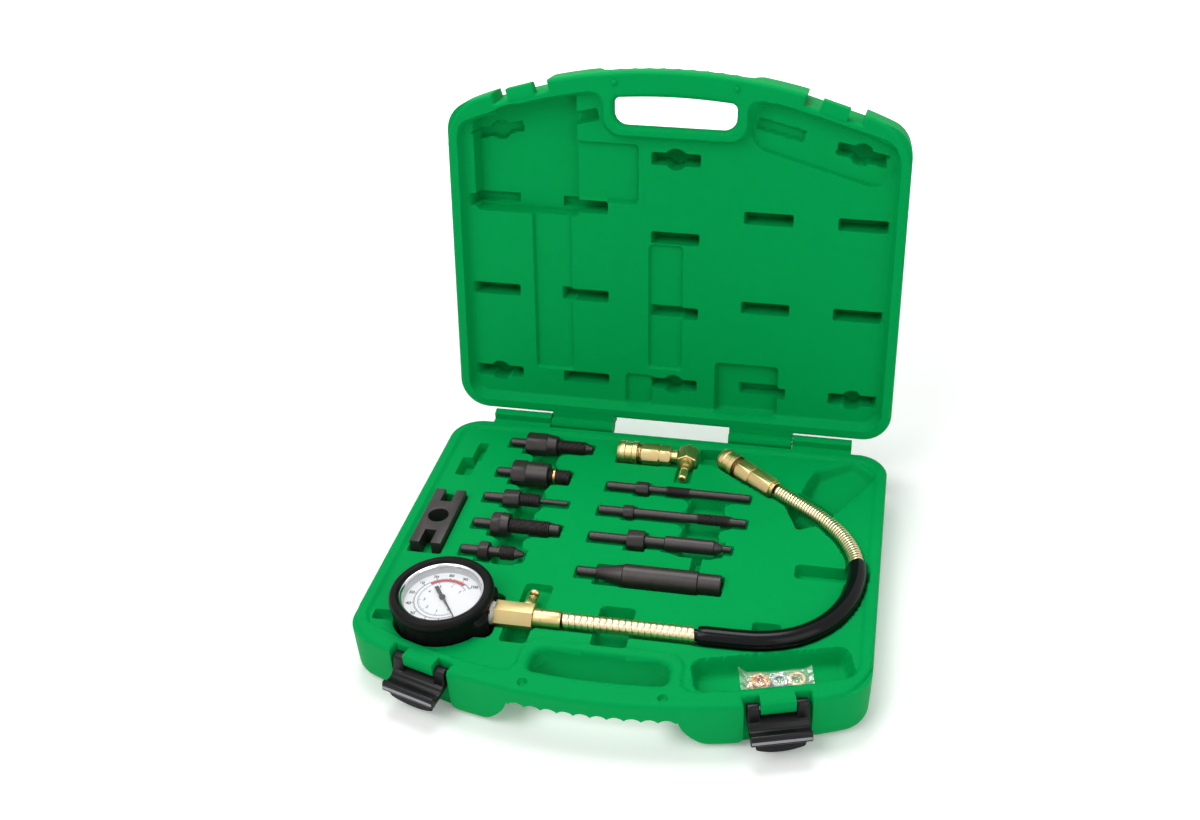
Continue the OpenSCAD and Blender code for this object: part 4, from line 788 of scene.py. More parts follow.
def grip_hole_profile():
    """Plan of the hand hole: round at the back, and in front the bow's own curve between two round
    corners."""
    mid, flat, inner = GRIP_Y1 - GRIP_END_R, GRIP_HALF_W - GRIP_END_R, GRIP_HALF_W - GRIP_CORNER
    bar_r = FRONT_R - GRIP_BAR_W
    corner_y = ARC_Y - math.sqrt((bar_r - GRIP_CORNER) ** 2 - inner ** 2)
    bow_x = np.linspace(inner - 0.5, 0, 13)
    bow = np.stack([bow_x, ARC_Y - np.sqrt(bar_r ** 2 - bow_x ** 2)], 1)
    right = [arc_points(flat, mid, GRIP_END_R, 90, 0, 11),
             arc_points(inner, corner_y, GRIP_CORNER, 0, -82, 9), bow]
    whole = mirrored(np.concatenate(right))
    return np.delete(whole, len(whole) // 2, axis=0)


def hole_flare():
    """Cutter that opens the lid's hand hole towards the outer face: its side next to the panel runs out by
    12 mm and its ends by a third."""
    hole = grip_hole_profile()
    middle = np.array([0, GRIP_Y1 - GRIP_END_R])
    start = middle + (hole - middle) * (1 - 0.3 / GRIP_END_R)
    back = np.clip((start[:, 1] - middle[1]) / GRIP_END_R + 0.3, 0, 1)
    end = start + np.stack([0.35 * start[:, 0], 12 * back], 1)
    rings = [carried(start, BASE_H + 3, "z"), carried(end, BASE_H + LID_H + 2, "z")]
    return capped_grid(np.stack(rings), 2, len(hole))


def grip_relief_profile():
    """Front view of the space under the base's grip bar: a scalloped top edge, ten scallops of 7.5 mm
    radius, and sides that run out to round shoulders, x = side + 29 s ** 1.6."""
    bar_z = BASE_H - GRIP_BAR_H
    side, pitch, r = GRIP_HALF_W + 11, 11.5, 7.5
    half = math.degrees(math.acos(5 / r))
    scallops = [arc_points((i - 4.5) * pitch, bar_z - 5, r, 90 - half, 90 + half, 9)
                for i in range(9, -1, -1)]
    s = np.linspace(0, 1, 16)
    run = np.stack([side + 29 * s ** 1.6, bar_z * (1 - s) ** 1.3 - 0.4 * s], 1)
    left = run * np.array([-1, 1])
    foot = np.array([(left[-1, 0], -2.0), (run[-1, 0], -2.0)])
    return np.concatenate([foot, run[::-1], *scallops, left])


def recess_profile(outer, inner):
    """Front view of a latch recess: upright sides that flare at the outer face by a quarter of an ellipse."""
    half, run, rise = LATCH_W / 2 + 2.5, 14.0, 11.0
    up = 1.0 if inner > outer else -1.0
    a = np.radians(np.linspace(0, 90, 9))
    flare = np.stack([half + run * (1 - np.sin(a)), outer + up * rise * (1 - np.cos(a))], 1)
    return mirrored(np.concatenate([[(half + run, outer - up * 3)], flare, [(half, inner)]]))


def knuckle_part(x0, x1, up):
    """Hinge knuckle: a round eye about the hinge axis that runs into a block on the back wall, of the lid
    if up is 1 and of the base if it is -1."""
    r, inner, gap = 6.5, BACK_Y - 6, 0.15
    foot = [(HINGE_Y, -2 * r), (inner, -2 * r), (inner, -gap), (HINGE_Y - 4, -gap), (HINGE_Y - 4, 5)]
    profile = np.concatenate([arc_points(HINGE_Y, 0, r, 90, -90, 25), foot])
    return extruded(profile * np.array([1, -up]) + np.array([0, BASE_H]), x0, x1, "x")


# Materials

MATERIALS = {}


def node(tree, kind, inputs=None, **properties):
    """Adds a shader node with its properties; an input, by name or number, takes a constant or another's
    output."""
    new = tree.nodes.new(kind)
    for key, value in properties.items():
        setattr(new, key, value)
    for key, value in (inputs or {}).items():
        if isinstance(value, bpy.types.NodeSocket):
            tree.links.new(value, new.inputs[key])
        else:
            new.inputs[key].default_value = value
    return new


def new_material(name, colour, **surface):
    """Principled material with constants on its own sockets; returns the material, its tree and its
    shader."""
    mat = bpy.data.materials.new(name)
    mat.use_nodes = True
    tree = mat.node_tree
    shader = tree.nodes["Principled BSDF"]
    shader.inputs["Base Color"].default_value = colour
    for key, value in surface.items():
        shader.inputs[key.replace("_", " ")].default_value = value
    return mat, tree, shader


def grained(name, colour, grain_mm, bump, spread, rough, rough_spread, mottle_mm, **surface):
    """Material with a fine noise grain of grain_mm as bump, a broader mottling of the colour by spread, and
    the same mottling in the roughness."""
    colour = tuple(colour)
    mat, tree, shader = new_material(name, colour, **surface)
    place = node(tree, "ShaderNodeTexCoord").outputs["Object"]
    fine, broad = (
        node(tree, "ShaderNodeTexNoise",
             {"Vector": place, "Scale": 1 / (size * MM), "Detail": detail}).outputs["Fac"]
        for size, detail in ((grain_mm, 3.0), (mottle_mm, 4.0)))
    dark, light = (tuple(min(1.0, c * level) for c in colour[:3]) + (1.0,)
                   for level in (1 - spread, 1 + spread))
    tint = node(tree, "ShaderNodeMix", {0: broad, 6: dark, 7: light}, data_type="RGBA")
    sheen = node(tree, "ShaderNodeMapRange",
                 {"Value": broad, "To Min": rough - rough_spread, "To Max": rough + rough_spread})
    relief = node(tree, "ShaderNodeBump", {"Height": fine, "Strength": bump, "Distance": grain_mm * MM * 0.3})
    for key, output in (("Base Color", tint.outputs[2]), ("Roughness", sheen.outputs["Result"]),
                        ("Normal", relief.outputs["Normal"])):
        tree.links.new(output, shader.inputs[key])
    return mat


def rubbed_line(mat, highlight_colour):
    """Painted highlight: a paler colour where a piece's own highlight attribute is 1, a pale line along a
    rounded edge in place of the light that it catches.
    """
    tree = mat.node_tree
    base = tree.nodes["Principled BSDF"].inputs["Base Color"]
    highlight_weight = node(tree, "ShaderNodeAttribute", attribute_name="rub").outputs["Fac"]
    mix = node(tree, "ShaderNodeMix", {0: highlight_weight, 6: base.links[0].from_socket, 7: highlight_colour}, data_type="RGBA")
    tree.links.new(mix.outputs[2], base)


def make_materials(scene):
    """All finishes, each named for the real material: key, name, colour, grain in mm, bump, spread of the
    colour, roughness and its spread, mottling in mm, constants."""
    case, gauge, tool = scene.testerkit_case, scene.testerkit_gauge, scene.testerkit_tool
    gloss, metal = "Specular_IOR_Level", {"Metallic": 1.0}
    finishes = [
        # Blow-moulded polyethylene: satin, with a fine sandblasted grain from the mould
        ("case", "moulded_polyethylene", case.plastic, 0.9, 0.1, 0.04, 0.5, 0.05, 12, {gloss: 0.03}),
        # Injection-moulded nylon: dark satin, with a painted highlight along the bead of its tip
        ("latch", "moulded_nylon", case.latch_plastic, 0.6, 0.1, 0.1, 0.3, 0.05, 12, {gloss: 0.2}),
        # The same nylon with the coarse eroded texture of the finger flaps
        ("flap", "textured_nylon", case.latch_plastic, 1.1, 0.9, 0.25, 0.6, 0.08, 5, {gloss: 0.06}),
        # Natural rubber of the boot: near black with a soft sheen
        ("boot", "boot_rubber", gauge.rubber, 0.5, 0.1, 0.18, 0.42, 0.08, 12, {gloss: 0.09}),
        # Smooth extruded rubber of the hose: black with a narrow gloss line
        ("hose", "hose_rubber", tool.hose, 1.2, 0.06, 0.15, 0.16, 0.03, 12, {gloss: 0.15}),
        # Blued steel: dark oxide with a satin turned surface
        ("steel", "oxide_steel", tool.steel, 0.35, 0.1, 0.2, 0.42, 0.08, 6, {"Metallic": 0.7}),
        # Turned brass: pale gold with a soft haze
        ("brass", "turned_brass", tool.brass, 0.8, 0.02, 0.05, 0.34, 0.05, 8, metal),
        # Milled brass of the gauge's stem: browner and duller
        ("socket", "machined_brass", srgb("#7D6A35"), 0.8, 0.03, 0.1, 0.4, 0.05, 8, metal),
        # Yellow zinc plating on spring wire: paler and glossier than the brass
        ("zinc", "zinc_plated_wire", tool.zinc, 0.8, 0.02, 0.06, 0.3, 0.05, 8, metal),
        # Phosphor bronze wire of the springs in the couplers: brown and dull
        ("bronze", "bronze_wire", srgb("#8A6E3A"), 0.8, 0.02, 0.06, 0.4, 0.05, 8, metal),
        # Soft copper of the washers: warm, with uneven gloss
        ("copper", "annealed_copper", srgb("#D49A62"), 0.4, 0.06, 0.12, 0.3, 0.06, 6, metal),
        # Polished steel of the bezel and the balls: close to a mirror
        ("chrome", "polished_steel", srgb("#DADCDF"), 0.4, 0.02, 0.04, 0.12, 0.03, 8, metal),
        # Drawn wire of the pins and small springs: bright grey satin
        ("wire", "drawn_steel_wire", srgb("#B9BCBE"), 0.4, 0.05, 0.08, 0.3, 0.05, 8, metal),
        # Enamels of the gauge's cup and dial: even, half matt
        ("enamel", "black_enamel", srgb("#2A2B2D"), 0.6, 0.05, 0.08, 0.35, 0.04, 12, {}),
        ("dial", "dial_enamel", gauge.dial, 0.5, 0.02, 0.01, 0.5, 0.03, 12, {}),
        # Printing inks of the scale: flat and matt
        ("band", "red_print", gauge.band, 0.5, 0.02, 0.04, 0.5, 0.03, 12, {}),
        ("ink", "black_print", srgb("#1E2024"), 0.5, 0.02, 0.06, 0.5, 0.03, 12, {}),
        ("inner_ink", "blue_grey_print", srgb("#7486A6"), 0.5, 0.02, 0.06, 0.5, 0.03, 12, {}),
        # Moulded plastic of the spacer: pale grey satin
        ("spacer", "satin_abs", srgb("#C6C9CC"), 0.6, 0.04, 0.03, 0.35, 0.04, 12, {}),
        # Thread tape: white and creased
        ("tape", "ptfe_tape", srgb("#F0F0EC"), 0.7, 0.4, 0.05, 0.6, 0.05, 12, {}),
        # Pressed fibre of the seals: tan and rough
        ("fibre", "pressed_fibre", srgb("#D6C08A"), 0.3, 0.3, 0.1, 0.7, 0.05, 12, {}),
    ]
    for key, name, colour, *look, surface in finishes:
        MATERIALS[key] = grained(name, colour, *look, **surface)
    # Painted highlight: a pale grey line along each latch's bead, in place of the light its round edge
    # catches
    rubbed_line(MATERIALS["latch"], srgb("#8E8F94"))
    # Clear acrylic of the lens, and polythene film with a bright gloss on its creases
    clear = srgb("#FFFFFF")
    MATERIALS["lens"] = new_material("clear_acrylic", clear, Roughness=0.03, IOR=1.49,
                                     Transmission_Weight=1.0)[0]
    MATERIALS["film"] = new_material("polythene_film", clear, Roughness=0.12, IOR=1.04,
                                     Transmission_Weight=0.92, Coat_Weight=1.0, Coat_IOR=1.9,
                                     Coat_Roughness=0.08)[0]


# Stage

CAMERA_AT = (0.1764, -0.7693, 0.7185)
CAMERA_YAW, CAMERA_PITCH = -8.83, 31.15
FOCAL_PX, IMAGE_W, IMAGE_H = 1353.5, 1200, 820
CENTRE_PX = (708.3, 325.4)
# Light of the surround, glow of the floor, its half width in metres, and where the camera sees it
# fade to white
ROOM_LIGHT, FLOOR_GLOW, FLOOR_HALF, FADE_START, FADE_END = 0.32, 0.13, 4.0, 0.5, 1.1
# Lamps: name, place, aim, size in metres, power
LAMPS = (("key_lamp", (-0.9, -0.9, 1.7), (0, 0.05, 0.1), 1.3, 19.5),
         ("fill_lamp", (1.3, -1.1, 1.2), (0, 0.05, 0.12), 1.4, 9.8),
         ("top_lamp", (-0.15, 0.5, 1.6), (0, 0, 0.05), 0.8, 13.6))


def aim_rotation(place, aim):
    """Euler turn that points -Z from place to aim with X level."""
    x, y, z = np.subtract(aim, place)
    return math.atan2(math.hypot(x, y), -z), 0.0, math.atan2(-x, y)


def photo_camera():
    """Camera fitted to the photograph: place, yaw and pitch, focal length in pixels, principal point as a
    shift."""
    cam = bpy.data.cameras.new("photo_camera")
    cam.sensor_width, cam.sensor_fit = 36.0, "HORIZONTAL"
    cam.lens = FOCAL_PX / IMAGE_W * cam.sensor_width
    cam.shift_x = (IMAGE_W / 2 - CENTRE_PX[0]) / IMAGE_W
    cam.shift_y = (CENTRE_PX[1] - IMAGE_H / 2) / IMAGE_W
    obj = linked("photo_camera", cam)
    obj.location = CAMERA_AT
    obj.rotation_euler = (math.radians(90 - CAMERA_PITCH), 0, math.radians(-CAMERA_YAW))
    return obj


def pale_floor():
    """White floor with the object's shadow; far from its middle the camera sees it fade to plain white."""
    mat, tree, shader = new_material("white_paper_floor", srgb("#FFFFFF"), Roughness=0.9)
    place = node(tree, "ShaderNodeTexCoord").outputs["Object"]
    reach = node(tree, "ShaderNodeVectorMath", {0: place}, operation="LENGTH").outputs["Value"]
    fade = node(tree, "ShaderNodeMapRange", {"Value": reach, "From Min": FADE_START, "From Max": FADE_END,
                                             "To Min": 0.0, "To Max": 0.8}).outputs["Result"]
    camera = node(tree, "ShaderNodeLightPath").outputs["Is Camera Ray"]
    seen = node(tree, "ShaderNodeMath", {0: fade, 1: camera, 2: FLOOR_GLOW}, operation="MULTIPLY_ADD")
    glow = node(tree, "ShaderNodeEmission", {"Color": (1, 1, 1, 1), "Strength": seen.outputs[0]})
    both = node(tree, "ShaderNodeAddShader", {0: shader.outputs[0], 1: glow.outputs[0]})
    tree.links.new(both.outputs[0], tree.nodes["Material Output"].inputs["Surface"])
    return mat


def pale_world(scene):
    """Even white surround; camera, gloss and glass rays see plain white."""
    world = bpy.data.worlds.new("studio")
    scene.world = world
    world.use_nodes = True
    tree = world.node_tree
    back = tree.nodes["Background"]
    back.inputs["Color"].default_value = (1, 1, 1, 1)
    path = node(tree, "ShaderNodeLightPath").outputs
    seen = path["Is Camera Ray"]
    for ray in ("Is Transmission Ray", "Is Glossy Ray"):
        seen = node(tree, "ShaderNodeMath", {0: seen, 1: path[ray]}, operation="MAXIMUM").outputs[0]
    level = node(tree, "ShaderNodeMapRange", {"Value": seen, "To Min": ROOM_LIGHT, "To Max": 1.0})
    tree.links.new(level.outputs["Result"], back.inputs["Strength"])


class TESTERKIT_OT_stage(bpy.types.Operator):
    """Pale floor, soft lamps and the camera at the photograph's angle"""
    bl_idname = "testerkit.stage"
    bl_label = "Stage"

    def execute(self, context):
        scene = context.scene
        scene.view_settings.view_transform = "Standard"
        make_materials(scene)
        corners = np.array([(-1, -1, 0), (1, -1, 0), (1, 1, 0), (-1, 1, 0)]) * FLOOR_HALF / MM
        floor = linked("floor", new_mesh("floor", (corners, [(0, 1, 2, 3)])))
        floor.data.materials.append(pale_floor())
        pale_world(scene)
        for name, place, aim, size, power in LAMPS:
            lamp = bpy.data.lights.new(name, "AREA")
            lamp.energy, lamp.size = power, size
            obj = linked(name, lamp)
            obj.location = place
            obj.rotation_euler = aim_rotation(place, aim)
        scene.camera = photo_camera()
        return {"FINISHED"}


# Hose

def along_route(u):
    """Points of a Catmull-Rom curve through the hose's route at parameters u, at the tester's height, and
    the unit vectors to its left in plan."""
    route = HOSE_ROUTE
    ext = np.concatenate([[2 * route[0] - route[1]], route, [2 * route[-1] - route[-2]]])
    i = np.minimum(u.astype(int), HOSE_LAST - 1)
    t = (u - i)[:, None]
    a, b, c, d = (ext[i + k] for k in range(4))
    k1, k2, k3 = c - a, 2 * a - 5 * b + 4 * c - d, 3 * b - a - 3 * c + d
    p = 0.5 * (2 * b + k1 * t + k2 * t ** 2 + k3 * t ** 3)
    v = 0.5 * (k1 + 2 * k2 * t + 3 * k3 * t ** 2)
    v = v / np.linalg.norm(v, axis=1, keepdims=True)
    flat = np.zeros((len(u), 1))
    return np.hstack([p, flat + TESTER_Z]), np.hstack([-v[:, 1:], v[:, :1], flat])


def tube(centre, side, radius, around):
    """Round tube: centre + r (cos a N + sin a Z), N being the line's left in plan; ends closed."""
    return swept(centre, radius[:, None] * side, radius[:, None] * UP, *circle(around))


def wound_strip(u0, u1, turns, width, thick, edge):
    """Wire wound round the route: its middle is centre + R (cos f N + sin f Z) with f = 2 pi turns s; its
    section is a rounded strip, width along the hose and thick outwards, squarer the smaller its edge
    power."""
    u = np.linspace(u0, u1, turns * 24 + 1)
    centre, side = along_route(u)
    f = np.linspace(0, 2 * np.pi * turns, len(u))[:, None]
    out = np.cos(f) * side + np.sin(f) * UP
    c, s = circle(10)
    section = np.sign(c) * np.abs(c) ** edge * thick / 2, np.sign(s) * np.abs(s) ** 0.5 * width / 2
    return wound(centre + GUARD_R * out, out, *section)


class TESTERKIT_OT_hose(bpy.types.Operator):
    """Hose with its black cover and the two wound spring guards"""
    bl_idname = "testerkit.hose"
    bl_label = "Hose"

    def execute(self, context):
        centre, side = along_route(np.linspace(0, HOSE_LAST, 180))
        line = tube(centre, side, np.full(len(centre), HOSE_R), 20)
        hose = add_piece("hose", line, "tester", "hose_black", "hose")
        rows = np.arange(150)
        radius = COVER_R - 0.8 * np.clip(1 - np.minimum(rows, rows[::-1]) / 2.0, 0, 1) ** 2
        sleeve = tube(*along_route(np.linspace(COVER_FIRST, COVER_LAST, len(rows))), radius, 32)
        cover = add_piece("hose_cover", sleeve, "tester", "hose_black", "hose")
        coarse, fine = (
            add_piece(name, wound_strip(*strip), "tester", "guard_plated", "zinc", 50) for name, strip in (
                ("gauge_end_spring_guard", (0.06, 2.95, 21, 4.35, 1.0, 0.7)),
                ("coupler_end_spring_guard", (COVER_LAST + 0.15, HOSE_LAST - 0.12, 40, 2.2, 0.8, 0.25))))
        return {"FINISHED"}


# Case and latches

class TESTERKIT_OT_case(bpy.types.Operator):
    """Base and lid of the moulded case, with their knuckles, tabs and pegs"""
    bl_idname = "testerkit.case"
    bl_label = "Case"

    def execute(self, context):
        pitch = context.scene.testerkit_case.mesh_pitch
        low = moulded_half(BASE_H, FLOOR_STEP, base_pockets, pitch)
        high = moulded_half(LID_H - CLOSING_GAP, PANEL_STEP - CLOSING_GAP, lid_pockets, pitch)
        base = add_piece("case_base", low, "case", "green_case", "case", 0)
        lid = add_piece("case_lid", flipped(high, BASE_H + LID_H), "lid", "green_case", "case", 0)
        hole = extruded(grip_hole_profile(), -20, 120, "z")
        under = extruded(grip_relief_profile(), FRONT_Y - 20, GRIP_Y1, "y")
        for obj, relief, outer, inner in ((base, under, 0, BASE_H + 5),
                                          (lid, flipped(under, 2 * BASE_H), BASE_H + LID_H, BASE_H - 5)):
            recess = extruded(recess_profile(outer, inner), -30, LATCH_RECESS, "y")
            cut(obj, join_parts(hole, *(placed(recess, *latch_frame(side)) for side in SIDES)))
            cut(obj, relief)
        cut(lid, hole_flare())
        gap, root, half = 0.15, LATCH_RECESS + 1, LATCH_TAB_W / 2
        low_tab = [*arc_points(LATCH_PIN_Y, LATCH_PIN_Z, LATCH_PIN_Y, 180, 360, 17), (root, LATCH_PIN_Z),
                   (root, BASE_H - gap), (0.6, BASE_H - gap), (0, BASE_H - 0.8)]
        high_tab = [(0.6, BASE_H + gap), (root, BASE_H + gap), (root, BASE_H + 9), (1.2, BASE_H + 9),
                    (0, BASE_H + 8), (0, BASE_H + 0.8)]
        peg = lathe([(-2, 2), (1.2, 2), (1.8, 1.5)], 24)
        pegs = [flipped(upright(peg, (side * PEG_X, PEG_Y, 0)), BASE_H) for side in SIDES]
        for obj, up, x0, x1, tab, half_w, others in ((base, -1, 104.4, 154, low_tab, half + 1, []),
                                                     (lid, 1, 50, 103.6, high_tab, half, pegs)):
            knuckles = [knuckle_part(side * x0, side * x1, up) for side in SIDES]
            tabs = [placed(extruded(tab, -half_w, half_w), *latch_frame(side)) for side in SIDES]
            add_shells(obj, knuckles + tabs + others)
        move_points(lid.data, lambda points: turned_x(points, -LID_OPEN, HINGE_Y, BASE_H))
        for obj in (base, lid):
            shade(obj.data, 60)
        return {"FINISHED"}


def latch_parts():
    """Pieces of a closed latch about its pin, -Y outwards: a plate whose inner side is flat, then hollow,
    and ends in a round hook, two arms with round eyes, and last the bead along the tip, which gets the
    painted highlight."""
    s = np.linspace(0, 1, 12)
    hollow = np.stack([-PLATE_IN - 1.5 * np.sin(np.pi * s), 9.5 + 7.0 * s], 1)
    hook = arc_points(-3.6, 19.5, 2.1, 230, 420, 18)
    bead = arc_points(-6.8, 21.0, 2.4, 60, 200, 14)
    outer = np.stack([-PLATE_OUT - 0.6 * np.sin(np.pi * s), 2 + 17.0 * s], 1)[::-1]
    plate = np.concatenate([[(-PLATE_IN, 2.0), (-PLATE_IN, 8.0)], hollow[:-1], hook, bead, outer])
    eye = arc_points(0, 0, 4.0, 60, -105, 20)
    arm = np.concatenate([eye, eased([(-5.0, -2.6), (-9.4, 1.0), (-9.4, 9.5), (-5.0, 9.5)], 2.0)])
    tip = arc_points(-5.0, 21.9, 1.3, 0, 342, 20)
    return [soft_prism(plate, -LATCH_W / 2, LATCH_W / 2, 1.0), soft_prism(arm, 12.7, 20.9, 0.6),
            soft_prism(arm, -20.9, -12.7, 0.6), soft_prism(tip, 0.6 - LATCH_W / 2, LATCH_W / 2 - 0.6, 0.6)]


def flap_profile():
    """Plan of the finger flap: a chord 34 mm wide closed by an arc of 26 mm radius, corners eased."""
    y0, half, r, wide = -PLATE_OUT + 1, 17, 26, 50.5
    bow = arc_points(0, y0 + r - FLAP_REACH, r, 180 + wide, 360 - wide, 26)
    end = np.array([(half, y0 - 6.0), (half, y0 - 0.6), (half - 0.6, y0)])
    return np.concatenate([bow[np.abs(bow[:, 0]) < half - 0.4], mirrored(end)])


def latch_place(part, side):
    """Swings a closed latch's part open about its pin and sets it into its recess."""
    points = turned_x(part[0], LATCH_OPEN) + np.array([0, LATCH_PIN_Y, LATCH_PIN_Z])
    return placed((points, part[1]), *latch_frame(side))


class TESTERKIT_OT_latches(bpy.types.Operator):
    """The two open latches: curved plate with its hook and arms, and the textured finger flap"""
    bl_idname = "testerkit.latches"
    bl_label = "Latches"

    def execute(self, context):
        for side, name in zip(SIDES, ("left", "right")):
            parts = [latch_place(part, side) for part in latch_parts()]
            whole = join_parts(*parts)
            plate = add_piece("latch_" + name, whole, name + " latch", "latch_black", "latch", 50)
            # 1 on the bead's points: where the latch material paints its highlight
            rub = np.arange(len(whole[0])) >= len(whole[0]) - len(parts[-1][0])
            plate.data.attributes.new("rub", "FLOAT", "POINT").data.foreach_set("value", rub.astype(float))
            flap = latch_place(soft_prism(flap_profile(), 20.0, 22.6, 0.9, "z"), side)
            add_piece("latch_%s_flap" % name, flap, name + " latch", "latch_black", "flap", 50, False)
        return {"FINISHED"}


# Tools

def coupler_stations():
    """Stations of a coupler head: chamfered nut of 16 mm, barrel of 7.1 mm radius and the socket's bore."""
    nut = hexagon_stations(25, 40.1, 16)[:-1]
    return [(25, 2.5)] + nut + [(40.1, 7.1), (58.4, 7.1), (59, 6.5), (59, 3.9), (58.6, 3.55), (43, 3.55),
                                (43, 2.5)]


def sleeve_profile():
    """Outline (x, r) of a sliding sleeve: two flanges with a waist between them and a chamfered mouth."""
    outer = [(43.5, 8.9), (43.5, 9.2), (43.9, 9.5), (47.4, 9.5), (47.9, 9.1), (48.3, 8.6), (53.2, 8.6),
             (53.6, 9.1), (54.0, 9.5), (57.4, 9.5), (58.0, 9.3), (60, 8.3), (60, 7.15)]
    return outer + [(51.8, 7.15), (51.5, 8.3), (51.0, 8.45), (43.9, 8.45)]


def elbow_part():
    """Angle adapter's body: a block with a ridge, and the turned neck and nipple on two of its sides."""
    cx = ELBOW_X + 8.5
    block = [(8, -4.4), (8, 4.2), (0, 8.0), (-8, 4.2), (-8, -4.4), (-5.2, -7.4), (5.2, -7.4)]
    neck = lathe([(0, 2), (0, 5.6), (5.0, 4.6), (5.6, 4.6)] + hexagon_stations(5.6, 15, 15), 64)
    nipple = lathe([(8.4, 2), (8.4, 5.4), (8.9, 5.6), (13.4, 4.6), (14, 4.6), (14, 3.5), (18.6, 3.5),
                    (18.9, 3.0), (20.4, 3.0), (20.7, 3.5), (29, 3.5), (30, 2.6), (30, 2), (24, 2)], 48)
    block = eased(np.array(block) + np.array([cx, BASE_H]), 0.9)
    return join_parts(soft_prism(block, ELBOW_Y - 8.5, ELBOW_Y + 8.5, 1.2, "y"),
                      placed(neck, (ELBOW_X, ELBOW_Y, BASE_H), 180),
                      placed(nipple, (cx, ELBOW_Y, BASE_H), -90))


class TESTERKIT_OT_fittings(bpy.types.Operator):
    """Brass block, release valve, ferrules, coupler and angle adapter"""
    bl_idname = "testerkit.fittings"
    bl_label = "Fittings"

    def execute(self, context):
        softened("valve_block", "tester", "fitting_brass", "brass", 0.5)
        softened("gauge_socket", "tester", "movement_brass", "socket", 0.4)
        on_axis = ((0, GAUGE_Y, TESTER_Z),)
        at_valve = ((VALVE_X, VALVE_Y, TESTER_Z), 90)
        at_coupler = ((*HOSE_ROUTE[-1], TESTER_Z), COUPLER_TURN)
        at_elbow = ((ELBOW_X + 10, ELBOW_Y, BASE_H), 180)
        tape = [(-87.6, 6.5), (-87.5, 7.9), (-86.6, 8.2), (-85.8, 7.9), (-84.9, 8.15), (-84.2, 7.9),
                (-84, 6.5)]
        add_piece("thread_seal_tape", placed(turned_ring(tape), *on_axis), "tester", "tape_white", "tape")
        valve = [(-5.5, 3.0), (0, 3.0), (0, 5.0), (0.4, 5.4), (1.2, 5.4), (6.8, 4.1), (7.2, 3.7), (7.6, 2.9),
                 (9.0, 2.8), (9.2, 3.5), (10.1, 3.5), (10.5, 3.1), (10.5, 1.35), (8.0, 1.35), (7.8, 2.25),
                 (-2.2, 2.25), (-2.2, 1.35), (-5.0, 1.35)]
        turns = np.radians(np.linspace(172, 8, 15))
        knob = [(15.1 + 2.3 * math.cos(a), 3.9 * math.sin(a) ** 0.6) for a in turns]
        gauge_end = [(-56, 2.5), (-56, 6.2), (-55.6, 6.6), (-50.4, 6.6), (-50.2, 6.35), (-49.6, 6.35),
                     (-49.4, 6.6), (-37.4, 6.6), (-36, 5.8), (-36, 2.5)]
        coupler_end = [(0, 2.5), (0, 6.2), (0.4, 6.6), (3, 6.6)] + hexagon_stations(3, 25, 15)
        for name, part, place, body in (
                ("release_valve_body", lathe(valve, 48), at_valve, "tester"),
                ("release_button", lathe([(-2.6, 1.2), (12.7, 1.2)] + knob, 48), at_valve, "release button"),
                ("gauge_end_ferrule", lathe(gauge_end), on_axis, "tester"),
                ("coupler_end_ferrule", lathe(coupler_end), at_coupler, "tester"),
                ("coupler_body", lathe(coupler_stations()), at_coupler, "tester"),
                ("coupler_sleeve", turned_ring(sleeve_profile()), at_coupler, "coupler sleeve"),
                ("elbow_coupler_body", lathe(coupler_stations()), at_elbow, "elbow"),
                ("elbow_sleeve", turned_ring(sleeve_profile()), at_elbow, "elbow sleeve")):
            add_piece(name, placed(part, *place), body, "fitting_brass", "brass")
        add_piece("elbow_body", elbow_part(), "elbow", "fitting_brass", "brass")
        spring = placed(coil_part(1.75, 0.6, 8.0, 5), (VALVE_X, VALVE_Y - 1.6, TESTER_Z), 90)
        add_piece("release_spring", spring, "tester", "pin_steel", "wire")
        points, faces = coil_part(7.75, 0.7, 7.8, 5)
        for prefix, place, body in (("coupler", at_coupler, "tester"), ("elbow", at_elbow, "elbow")):
            spring = placed((points + np.array([40.3, 0, 0]), faces), *place)
            add_piece(prefix + "_spring", spring, body, "pin_steel", "bronze")
            dress(prefix + "_balls", "chrome")
        for name in ("hinge_pins", "latch_pins"):
            dress(name, "wire")
        return {"FINISHED"}


class TESTERKIT_OT_adapters(bpy.types.Operator):
    """Nine engine adapters with hexagons, threads and bores, the copper ring and the clamp"""
    bl_idname = "testerkit.adapters"
    bl_label = "Adapters"

    def execute(self, context):
        bore_r = 1.25
        for i, (x0, y, segments) in enumerate(ADAPTERS, 1):
            bore = [(segments[0][0] + 6, bore_r), (0, bore_r)]
            part = placed(lathe(bore + segment_stations(segments)), (x0, y, TRAY_Z))
            add_piece("adapter_%d" % i, part, "adapter %d" % i, "adapter_steel", "steel")
        x0, x1, r0, r1, e = RING_AT, RING_AT + RING_W, RING_R0, RING_R1, 0.3
        ring = turned_ring([(x0, r0), (x0, r1 - e), (x0 + e, r1), (x1 - e, r1), (x1, r1 - e), (x1, r0)])
        ring = placed(ring, (LEFT_X, ADAPTERS[1][1], TRAY_Z))
        add_piece("adapter_2_copper_ring", ring, "adapter 2", "copper", "copper")
        softened("clamp_fork", "clamp", "clamp_steel", "steel", 0.7)
        return {"FINISHED"}


# Gauge

